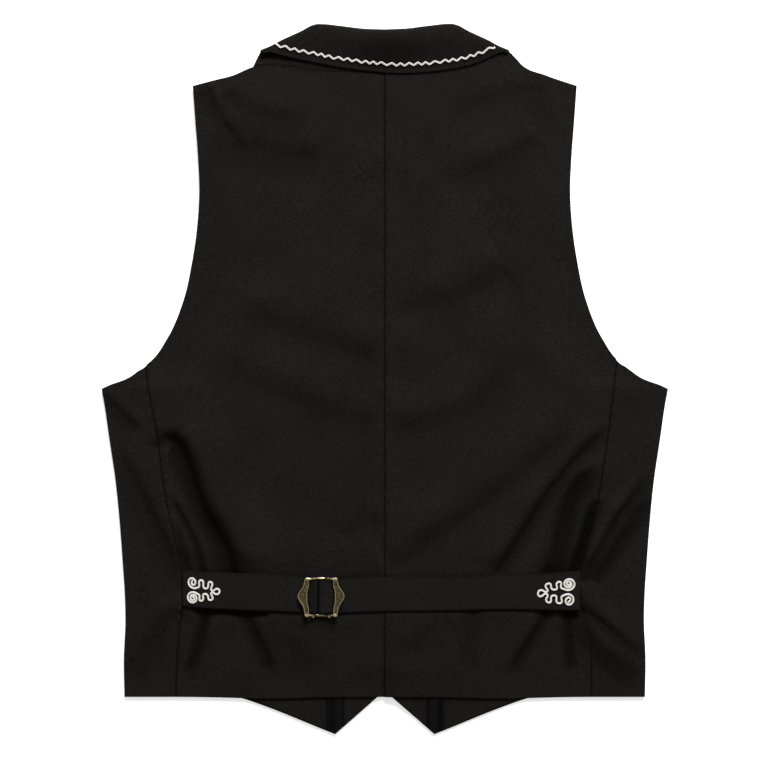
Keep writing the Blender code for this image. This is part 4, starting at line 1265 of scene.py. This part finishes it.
def buckle_frame(base):
    """The buckle's frame as loops of points with their wear: raised rims on the wings, round bars."""
    rim_width, rim_share, hollow, bar_share, end_share = 0.85, 0.3, 0.6, 0.8, 0.12
    beads_end, beads_ramp, face_ramp, rim_round, face_steps, edge_share = 7.4, 0.8, 0.3, 0.8, 5, 0.4
    low_rub, bead_rub, bare_rub, hollow_rub, rim_rub, under_rub = 0.05, 0.1, 0.5, 0.12, 0.75, 0.1
    rim_places = np.array([0.0, 0.12, 0.4, 0.75, 1.0, 1.3])
    half = BUCKLE_HEIGHT / 2
    loops, wear = [], []
    for hole, edge in zip(*buckle_stations()):
        width = np.linalg.norm(edge - hole)
        rim = min(rim_width, rim_share * width)
        outer = rim * rim_places
        inner = np.linspace(outer[-1], width - outer[-1], face_steps)[1:-1]
        offsets = np.concatenate([outer, inner, width - outer[::-1]])
        away = np.minimum(offsets, width - offsets) / rim
        low = base + between(BUCKLE_LOW, BUCKLE_HIGH, ease(abs(hole[0]) / WINDOW_HALF))
        wing = float(ease((abs(hole[0]) / WINDOW_HALF - bar_share) / (1 - bar_share)))
        sunk = wing * float(ease((1 - abs(hole[1]) / WINDOW_HALF_HEIGHT) / end_share))
        face = ease((away - 1) / face_ramp) * sunk
        rounded = np.sqrt(np.clip(1 - (1 - np.minimum(away / rim_round, 1)) ** 2, 0, 1))
        barrel = np.sqrt(np.clip(1 - (2 * offsets / width - 1) ** 2, 0, 1))
        top = between(half * (1 + barrel), half * (1 + rounded) - hollow * face, wing)
        under = between(half * (1 - barrel), BUCKLE_HEIGHT * edge_share * (1 - rounded), wing)
        plan = (BUCKLE_X, BUCKLE_DROP) + between(hole, edge, (offsets / width)[:, None]) * (1, -1)
        upper = place(plan[:, 0], plan[:, 1], low + top)
        lower = place(plan[:, 0], plan[:, 1], low + under)[-2:0:-1]
        loops.append(np.concatenate([upper, lower]))
        bare = float(ease((abs(hole[0]) - beads_end) / beads_ramp))
        on_bar = low_rub + (bead_rub + bare_rub * bare) * barrel
        on_wing = hollow_rub + rim_rub * rounded * (1 - face)
        wear.append(np.concatenate([between(on_bar, on_wing, wing), np.full(len(lower), under_rub)]))
    return np.array(loops), np.array(wear)


def lathe(profile, centre, upright):
    """Loops of points about a line along x or, upright, along y, from places along it and radii."""
    sides = 16
    turns = np.linspace(0, math.tau, sides, endpoint=False)
    order = (1, 0, 2) if upright else (0, 1, 2)
    loops = []
    for along, radius in profile:
        ring = np.stack([np.full(sides, along), radius * np.cos(turns), radius * np.sin(turns)], axis=1)
        loops.append(centre + ring[:, order])
    return np.array(loops)


def bead_profile(half, radius):
    """A round bead, as places along its bar and radii."""
    steps, least = 11, 0.05
    angles = np.linspace(0, math.pi, steps)
    return [(-half * math.cos(a), max(radius * math.sin(a), least)) for a in angles]


def barrel_profile(half, radius):
    """A slim barrel with soft ends."""
    shape = (
        (-1, 0.05), (-1, 0.7), (-0.96, 0.9), (-0.85, 1), (0, 1.04),
        (0.85, 1), (0.96, 0.9), (1, 0.7), (1, 0.05),
    )
    return [(half * along, radius * share) for along, share in shape]


# Operators, one for each piece or group of like pieces


class VEST_OT_backs(Operator):
    """Make the two back halves, with their folds and the seam down their middle"""

    bl_idname = "vest.backs"
    bl_label = "Back Halves"

    def execute(self, context):
        back_panels(context.scene.vest_sizes, "back", back_plan)
        return {"FINISHED"}


class VEST_OT_sides(Operator):
    """Make the two side panels of the back"""

    bl_idname = "vest.sides"
    bl_label = "Side Panels"

    def execute(self, context):
        back_panels(context.scene.vest_sizes, "side", side_plan)
        return {"FINISHED"}


class VEST_OT_fronts(Operator):
    """Make the two fronts that the vest lies on, one lapped over the other"""

    bl_idname = "vest.fronts"
    bl_label = "Fronts"

    def execute(self, context):
        sizes = context.scene.vest_sizes
        coarse, rounding = 1.7, sizes.rounding / MM
        for side in SIDES:
            plan = front_plan(side, coarse * sizes.mesh_step / MM, rounding)
            rise = front_under(side, plan[..., 0], plan[..., 1]) + CLOTH / 2
            sewn_panel("front_" + side, plan, rise, CLOTH, rounding)
        return {"FINISHED"}


class VEST_OT_points(Operator):
    """Make the facing and the lining that show inside the points of the fronts"""

    bl_idname = "vest.points"
    bl_label = "Linings and Facings"

    def execute(self, context):
        rounding, step = 0.6, 1.2
        lining_half, facing_start = 124.0, 6.0
        lining_shares = spaced(lining_half - FACING_HALF, step, rounding)
        facing_shares = spaced(FACING_HALF - facing_start, step, rounding)
        lining = between(FACING_HALF + SEAM, lining_half, lining_shares)
        facing = between(facing_start, FACING_HALF, facing_shares)
        for side in SIDES:
            for name, halves, slot in (("lining", lining, "lining"), ("facing", facing, "cloth")):
                plan = point_plan(side, halves, step, rounding)
                x, drop = plan[..., 0], plan[..., 1]
                half = np.abs(x)
                rise = front_under(side, x, drop) + CLOTH + LINING_CLEAR + LINING / 2 + self.folds(half)
                piece = sewn_panel(
                    f"{name}_{side}", plan, rise, LINING, rounding, slot,
                )
                # Painted shade in the points, from POINT_SHADE.
                add_shade(piece, np.interp(half, POINT_SHADE["half_width"], POINT_SHADE[side]))
                if slot == "lining":
                    self.turn_hem(piece)
        return {"FINISHED"}

    @staticmethod
    def folds(half):
        """The pleats beside the facing and the softer folds beyond them."""
        groove, groove_width, pleats, soft, soft_pitch, soft_reach = 0.6, 1.5, 2.5, 0.3, 8.0, 20.0
        pleat_mean, pleat_swing, pleat_phase = 0.55, 0.45, 0.6
        inside = np.clip((half - FACING_HALF) / (PLEAT_HALF - FACING_HALF), 0, 1)
        pleat = pleat_mean + pleat_swing * np.sin(math.tau * pleats * inside + pleat_phase)
        pleat *= PLEAT_RISE * np.sin(math.pi * inside)
        beyond = half - PLEAT_HALF
        wave = soft * np.sin(math.tau * beyond / soft_pitch) * bell(beyond, soft_reach)
        return pleat - groove * bell(beyond, groove_width) + np.where(beyond > 0, wave, 0.0)

    @staticmethod
    def turn_hem(piece):
        """Gives the part beyond the pleat, where the front's cloth is turned in, the cloth's finish."""
        piece.data.materials.append(wool_finish())
        for face in piece.data.polygons:
            if abs(face.center.x) > PLEAT_HALF * MM:
                face.material_index = 1


class VEST_OT_lapels(Operator):
    """Make the lapels, turned back on the outside of the fronts"""

    bl_idname = "vest.lapels"
    bl_label = "Lapels"

    def execute(self, context):
        sizes = context.scene.vest_sizes
        coarse, rounding = 2, sizes.rounding / MM
        for side in SIDES:
            plan = lapel_plan(side, coarse * sizes.mesh_step / MM, rounding)
            rise = LAPEL_CLOTH / 2
            sewn_panel("lapel_" + side, plan, rise, LAPEL_CLOTH, rounding)
        return {"FINISHED"}


class VEST_OT_buttons(Operator):
    """Make the front buttons, dished and drilled with four holes"""

    bl_idname = "vest.buttons"
    bl_label = "Buttons"

    def execute(self, context):
        sides, hole_place, hole_flat, hole_ramp, hole_depth = 48, 1.349, 0.525, 0.375, 0.9
        dish_depth, dish_end, dish_ramp = 0.55, 0.82, 0.16
        edge_depth, edge_start, edge_ramp = 0.35, 0.88, 0.12
        wear_start, wear_ramp = 0.75, 0.2
        radii = np.array([0.04, 0.1, 0.16, 0.22, 0.28, 0.34, 0.42, 0.55, 0.68, 0.76, 0.84, 0.92, 0.97, 1.0])
        dish = dish_depth * ease((dish_end - radii) / dish_ramp)
        edge = edge_depth * ease((radii - edge_start) / edge_ramp)
        back = ((1.0, 0.55), (0.97, 0.85), (0.9, 1.0), (0.04, 1.0))
        outline = [*zip(radii, dish + edge), *((radius, share * BUTTON_HEIGHT) for radius, share in back)]
        turns = np.linspace(0, math.tau, sides, endpoint=False)
        for number, drop in enumerate(BUTTON_DROPS, 1):
            loops, wear = [], []
            for k, (radius, z) in enumerate(outline):
                x, y = BUTTON_RADIUS * radius * np.cos(turns), BUTTON_RADIUS * radius * np.sin(turns)
                depth = np.zeros(sides)
                if k < len(radii):
                    apart = np.hypot(np.abs(x) - hole_place, np.abs(y) - hole_place)
                    depth = hole_depth * (1 - ease((apart - hole_flat) / hole_ramp))
                loops.append(place(x, drop + y, z + depth))
                wear.append(np.full(sides, ease((radius - wear_start) / wear_ramp)))
            node = f"button_{number}"
            loops = np.array(loops)
            piece = new_piece(
                node + "_disc", loops.reshape(-1, 3), loft(loops, False), button_finish(), [node]
            )
            add_values(piece, "wear", np.concatenate(wear))
        return {"FINISHED"}


class VEST_OT_collar(Operator):
    """Make the collar: its fall on top, its roll at the upper edge, its stand beneath"""

    bl_idname = "vest.collar"
    bl_label = "Collar"

    def execute(self, context):
        step = 1.6
        reach = ROLL_LINE["half_width"][-1]
        spread = 2 * spaced(2 * reach, step, COLLAR_ROUNDING) - 1
        middle = collar_middle(spread)
        piece = cloth_shell("collar", middle, COLLAR_CLOTH, COLLAR_ROUNDING)
        steps = np.linalg.norm(np.diff(middle, axis=1), axis=2)
        to_seam = np.pad(np.cumsum(steps[:, ::-1], axis=1), ((0, 0), (1, 0)))[:, ::-1]
        add_shade(piece, np.maximum(seam_shade(to_seam), self.roll_shade(spread[:, None], middle, to_seam)))
        return {"FINISHED"}

    @staticmethod
    def roll_shade(t, points, to_seam):
        """Painted shade on the collar: along its roll, most in the middle, in its dip and at its left end."""
        rim_dark, middle_dark, middle, middle_half, rim_width = 0.45, 0.5, 0.1, 0.3, 2.4
        dip_dark, dip_place, dip_width = 0.3, 19.0, 9.0
        stand_dark, stand_start, stand_ramp, stand_reach = 0.35, 0.1, 0.3, 14.0
        rim = np.take_along_axis(to_seam, np.argmax(points[..., 1], axis=1)[:, None], axis=1)
        near_middle = bell(t - middle, middle_half)
        roll = (rim_dark + middle_dark * near_middle) * bell(to_seam - rim, rim_width)
        dip = dip_dark * near_middle * bell(to_seam - rim - dip_place, dip_width)
        stand = stand_dark * ease((-t - stand_start) / stand_ramp) * ease(2 - to_seam / stand_reach)
        return np.maximum.reduce([roll, dip, stand])


class VEST_OT_collar_braid(Operator):
    """Lay the wavy white braid along the fall of the collar"""

    bl_idname = "vest.collar_braid"
    bl_label = "Collar Braid"

    def execute(self, context):
        sizes = context.scene.vest_sizes
        steps_a_wave, sunk, pointed, drift, drift_waves = 12, 0.05, 0.1, 0.15, 3.7
        count = BRAID_WAVES * steps_a_wave + 1
        turns = math.tau * BRAID_WAVES * np.linspace(0, 1, count)
        bent = turns.copy()
        for uneven, waves, phase in ((0.5, 5.3, 0), (0.4, 2.9, 1)):
            bent += uneven * np.sin(turns / waves + phase)
        swing = np.sin(bent) - pointed * np.sin(3 * bent) + drift * np.sin(turns / drift_waves)
        insets = BRAID_INSET + BRAID_SWING * swing
        spread = np.linspace(-BRAID_REACH, BRAID_REACH, count)
        places = [collar_surface(t, inset) for t, inset in zip(spread, insets)]
        points = np.array([point - normal * sunk for point, normal in places])
        normals = np.array([normal for _, normal in places])
        laid_cord("collar_braid", points, normals, sizes.braid_width / MM, sizes.braid_height / MM)
        return {"FINISHED"}


class VEST_OT_belt(Operator):
    """Make the two straps of the back belt, one looped round the buckle's bar and one passed over it"""

    bl_idname = "vest.belt"
    bl_label = "Back Belt"

    def execute(self, context):
        step, rounding = 2.0, 0.3
        self.left(step, rounding)
        self.right(step, rounding)
        return {"FINISHED"}

    def left(self, step, rounding):
        flat_end, loop_steps = BELT_LEFT_PATH["x"][-1], 15
        shares = spaced(flat_end - BELT_LEFT_END, step, rounding)[:-EDGE_STEPS]
        x = between(BELT_LEFT_END, flat_end, shares)
        flat = pairs(x, smooth(BELT_LEFT_PATH, "x", "rise", x))
        turn = np.linspace(-math.pi / 2, math.pi / 2, loop_steps)
        loop = pairs(BAR_X + LOOP_RADIUS * np.cos(turn), BAR_RISE + LOOP_RADIUS * np.sin(turn))
        path = np.concatenate([flat, loop, pairs(LOOP_END["x"], LOOP_END["rise"])])
        cloth = np.interp(path[:, 0], BELT_LEFT_PATH["x"], BELT_LEFT_PATH["cloth"])
        self.strap("belt_left", path, cloth, BELT_LEFT_EDGES, step, rounding, False, ["back_left"])

    def right(self, step, rounding):
        bend_end, fine_step = -34.0, 0.6
        bend_shares = spaced(bend_end - TAIL_END, fine_step, rounding)[:-EDGE_STEPS]
        run_shares = spaced(BELT_RIGHT_END - bend_end, step, rounding)[EDGE_STEPS + 1:]
        bends = between(TAIL_END, bend_end, bend_shares)
        x = np.concatenate([bends, between(bend_end, BELT_RIGHT_END, run_shares)])
        path = pairs(x, smooth(BELT_RIGHT_PATH, "x", "rise", x))
        cloth = np.interp(x, BELT_RIGHT_PATH["x"], BELT_RIGHT_PATH["cloth"])
        rests_on = ["back_left", "back_right"]
        self.strap("belt_right", path, cloth, BELT_RIGHT_EDGES, step, rounding, True, rests_on)

    @staticmethod
    def strap(node, path, cloth, edges, step, rounding, in_window, rests_on):
        """A strap with its cloth's thickness along a path."""
        # Painted shade along the strap's edges, and in the buckle's window on the strap that shows there.
        edge_dark, edge_width = 0.6, 0.9
        middle = strap_middle(path, edges, step, rounding)
        piece = cloth_shell(node, middle, cloth[:, None], rounding)
        drop = LENGTH / 2 - middle[..., 1]
        to_edge = np.minimum(drop - drop[:, :1], drop[:, -1:] - drop)
        shade = edge_dark * bell(to_edge, edge_width)
        if in_window:
            shade = np.maximum(shade, window_shade(middle[..., 0], drop))
        add_shade(piece, shade)


class VEST_OT_motifs(Operator):
    """Lay the white cord scrolls on the sewn ends of the belt"""

    bl_idname = "vest.motifs"
    bl_label = "Cord Scrolls"

    def execute(self, context):
        sizes = context.scene.vest_sizes
        sunk, lowered = 0.05, 0.9
        for side, edges, end, uneven, turns, bulge, stretch in (
            ("left", BELT_LEFT_EDGES, BELT_LEFT_END, 0.6, (1.6, 2.3), 0.75, (0.98, 1.0)),
            ("right", BELT_RIGHT_EDGES, BELT_RIGHT_END, 2.1, (2.5, 1.7), 0.9, (1.13, 1.04)),
        ):
            line = scroll_line(*turns, bulge, uneven) * stretch
            x = end - sign_of(side) * line[:, 0]
            middle = (smooth(edges, "x", "top", x) + smooth(edges, "x", "bottom", x)) / 2
            drop = middle + lowered - line[:, 1]
            points = place(x, drop, belt_base(x, drop) + SEAM + STRAP - sunk)
            normals = np.tile((0.0, 0.0, 1.0), (len(x), 1))
            laid_cord("motif_" + side, points, normals, sizes.cord_width / MM, sizes.cord_height / MM)
        return {"FINISHED"}


class VEST_OT_buckle(Operator):
    """Make the slide buckle: rimmed wings, beaded bars and the hidden bar in the middle"""

    bl_idname = "vest.buckle"
    bl_label = "Buckle"

    def execute(self, context):
        bead_up, barrel_up, bar_past_end = 0.5, 0.2, 1.2
        bead_rub, barrel_rub, hidden_rub = 0.75, 0.8, 0.0
        base = float(belt_base(np.array(BUCKLE_X), np.array(BUCKLE_DROP)))
        loops, wear = buckle_frame(base)
        points, faces, worn = [loops.reshape(-1, 3)], loft(loops, True), [wear.ravel()]
        bar_height = base + BUCKLE_LOW + BUCKLE_HEIGHT / 2
        middle = LENGTH / 2 - BUCKLE_DROP
        turned = []
        for up, bar, drooped, reach, bead, bead_half, barrel_half, barrel in (
            (1, 17.0, 0.0, 6.4, 1.3, 1.0, 4.7, 1.05),
            (-1, 16.6, 0.9, 7.4, 1.75, 1.75, 5.3, 1.05),
        ):
            for along in (-reach, reach):
                spot = np.array((BUCKLE_X + along, middle + up * (bar + drooped), bar_height + bead_up))
                turned.append((lathe(bead_profile(bead_half, bead), spot, False), bead_rub))
            spot = np.array((BUCKLE_X, middle + up * bar, bar_height + barrel_up))
            turned.append((lathe(barrel_profile(barrel_half, barrel), spot, False), barrel_rub))
        spot = np.array((BAR_X, middle, base + BAR_RISE))
        hidden_bar = barrel_profile(WINDOW_HALF_HEIGHT + bar_past_end, BAR_RADIUS)
        turned.append((lathe(hidden_bar, spot, True), hidden_rub))
        for shape, rub in turned:
            start = sum(len(p) for p in points)
            faces += [[start + k for k in face] for face in loft(shape, False)]
            points.append(shape.reshape(-1, 3))
            worn.append(np.full(shape.shape[0] * shape.shape[1], rub))
        piece = new_piece("buckle_brass", np.concatenate(points), faces, brass_finish(), ["buckle"])
        add_values(piece, "wear", np.concatenate(worn))
        return {"FINISHED"}


class VEST_OT_stage(Operator):
    """Set the pale floor, the key light in a white studio and the camera straight above"""

    bl_idname = "vest.stage"
    bl_label = "Stage"

    def execute(self, context):
        self.floor(context)
        self.lights(context)
        self.camera(context)
        return {"FINISHED"}

    @staticmethod
    def floor(context):
        half, below = 4.0, 0.0003
        mesh = bpy.data.meshes.new("floor")
        corners = [(-half, -half, -below), (half, -half, -below), (half, half, -below), (-half, half, -below)]
        mesh.from_pydata(corners, [], [(0, 1, 2, 3)])
        material, tree, shader = new_finish("pale_floor")
        color = (*context.scene.vest_colors.floor, 1)
        set_inputs(tree, shader, {
            "Base Color": color, "Roughness": 0.9, "Specular IOR Level": 0.1, "Emission Color": color,
            "Emission Strength": 0.55,
        })
        mesh.materials.append(material)
        floor = bpy.data.objects.new("floor", mesh)
        context.scene.collection.objects.link(floor)

    @staticmethod
    def lights(context):
        azimuth, elevation, distance, size, power = math.radians(79.0), math.radians(31.0), 4.6, 1.6, 398.0
        world = bpy.data.worlds.new("studio")
        world.use_nodes = True
        back = world.node_tree.nodes["Background"]
        set_inputs(world.node_tree, back, {"Color": (1.0, 1.0, 1.0, 1), "Strength": 0.36})
        context.scene.world = world
        lamp = bpy.data.lights.new("key", "AREA")
        lamp.energy, lamp.size = power, size
        light = bpy.data.objects.new("key", lamp)
        level, up = distance * math.cos(elevation), distance * math.sin(elevation)
        light.location = (level * math.cos(azimuth), level * math.sin(azimuth), up)
        light.rotation_euler = (math.pi / 2 - elevation, 0, azimuth + math.pi / 2)
        context.scene.collection.objects.link(light)

    @staticmethod
    def camera(context):
        lens, sensor, vest_height = 110.0, 36.0, 6.0
        data = bpy.data.cameras.new("above")
        data.lens, data.sensor_width = lens, sensor
        camera = bpy.data.objects.new("above", data)
        camera.location = (PICTURE_X * MM, PICTURE_Y * MM, (PICTURE_WIDTH * lens / sensor + vest_height) * MM)
        context.scene.collection.objects.link(camera)
        context.scene.camera = camera
        context.scene.view_settings.view_transform = "Standard"


OPERATORS = (
    VEST_OT_backs, VEST_OT_sides, VEST_OT_fronts, VEST_OT_points, VEST_OT_lapels, VEST_OT_buttons,
    VEST_OT_collar, VEST_OT_collar_braid, VEST_OT_belt, VEST_OT_motifs, VEST_OT_buckle, VEST_OT_stage,
)


def length_property(name, description, default, least):
    """A length, given in millimetres."""
    return FloatProperty(
        name=name, description=description, default=default * MM, min=least * MM, unit="LENGTH", precision=5,
    )


class VestSizes(PropertyGroup):
    """Sizes of the cloth and the trim"""

    mesh_step: length_property("Mesh Spacing", "Distance between the points of the cloth", 1.9, 1.0)
    rounding: length_property("Edge Rounding", "Width over which a cloth edge rounds over", 0.9, 0.2)
    crease_depth: FloatProperty(
        name="Crease Depth", description="Depth of the creases, against that of the laid-out vest",
        default=1.0, min=0.0, max=1.5, subtype="FACTOR",
    )
    twill_pitch: length_property("Twill Pitch", "Distance between the diagonal lines of the weave", 0.9, 0.1)
    stitch_pitch: length_property("Stitch Pitch", "Length of one slanting stitch of the braid", 0.9, 0.1)
    braid_width: length_property("Braid Width", "Width of the wavy braid on the collar", 1.65, 0.5)
    braid_height: length_property("Braid Height", "Height of the wavy braid over the collar", 1.0, 0.2)
    cord_width: length_property("Cord Width", "Width of the cord in the scrolls on the belt", 1.7, 0.5)
    cord_height: length_property("Cord Height", "Height of the cord over the belt", 1.1, 0.2)


def color_property(name, description, default):
    return FloatVectorProperty(
        name=name, description=description, default=default, size=3, min=0.0, max=1.0, subtype="COLOR",
    )


class VestColors(PropertyGroup):
    """Colours of the finishes"""

    cloth: color_property("Cloth", "Colour of the wool", (0.0088, 0.0083, 0.0074))
    lining: color_property("Lining", "Colour of the lining", (0.0042, 0.0042, 0.0043))
    braid: color_property("Braid", "Colour of the braid and the cord", (0.76, 0.74, 0.69))
    brass_hollow: color_property("Dark Brass", "Colour of the brass in its hollows", (0.049, 0.036, 0.0145))
    brass_worn: color_property("Worn Brass", "Colour of the brass where it is rubbed", (0.58, 0.47, 0.275))
    button: color_property("Buttons", "Colour of the buttons", (0.012, 0.012, 0.012))
    floor: color_property("Floor", "Colour of the floor", (0.9, 0.9, 0.9))


class VEST_PT_sidebar(Panel):
    """The vest's pieces, sizes and colours"""

    bl_idname = "VEST_PT_sidebar"
    bl_label = "Vest"
    bl_space_type = "VIEW_3D"
    bl_region_type = "UI"
    bl_category = "Vest"

    def draw(self, context):
        for group in (context.scene.vest_sizes, context.scene.vest_colors):
            for key in group.bl_rna.properties.keys():
                if key not in ("rna_type", "name"):
                    self.layout.prop(group, key)
        for operator in OPERATORS:
            self.layout.operator(operator.bl_idname)


CLASSES = (VestSizes, VestColors, *OPERATORS, VEST_PT_sidebar)


def register():
    for kind in CLASSES:
        bpy.utils.register_class(kind)
    bpy.types.Scene.vest_sizes = PointerProperty(type=VestSizes)
    bpy.types.Scene.vest_colors = PointerProperty(type=VestColors)


def unregister():
    del bpy.types.Scene.vest_colors
    del bpy.types.Scene.vest_sizes
    for kind in reversed(CLASSES):
        bpy.utils.unregister_class(kind)


def main():
    """Makes every piece and the stage."""
    register()
    bpy.ops.vest.stage()
    bpy.ops.vest.fronts()
    bpy.ops.vest.lapels()
    bpy.ops.vest.buttons()
    bpy.ops.vest.points()
    bpy.ops.vest.backs()
    bpy.ops.vest.sides()
    bpy.ops.vest.collar()
    bpy.ops.vest.collar_braid()
    bpy.ops.vest.belt()
    bpy.ops.vest.motifs()
    bpy.ops.vest.buckle()


if __name__ == "__main__":
    main()
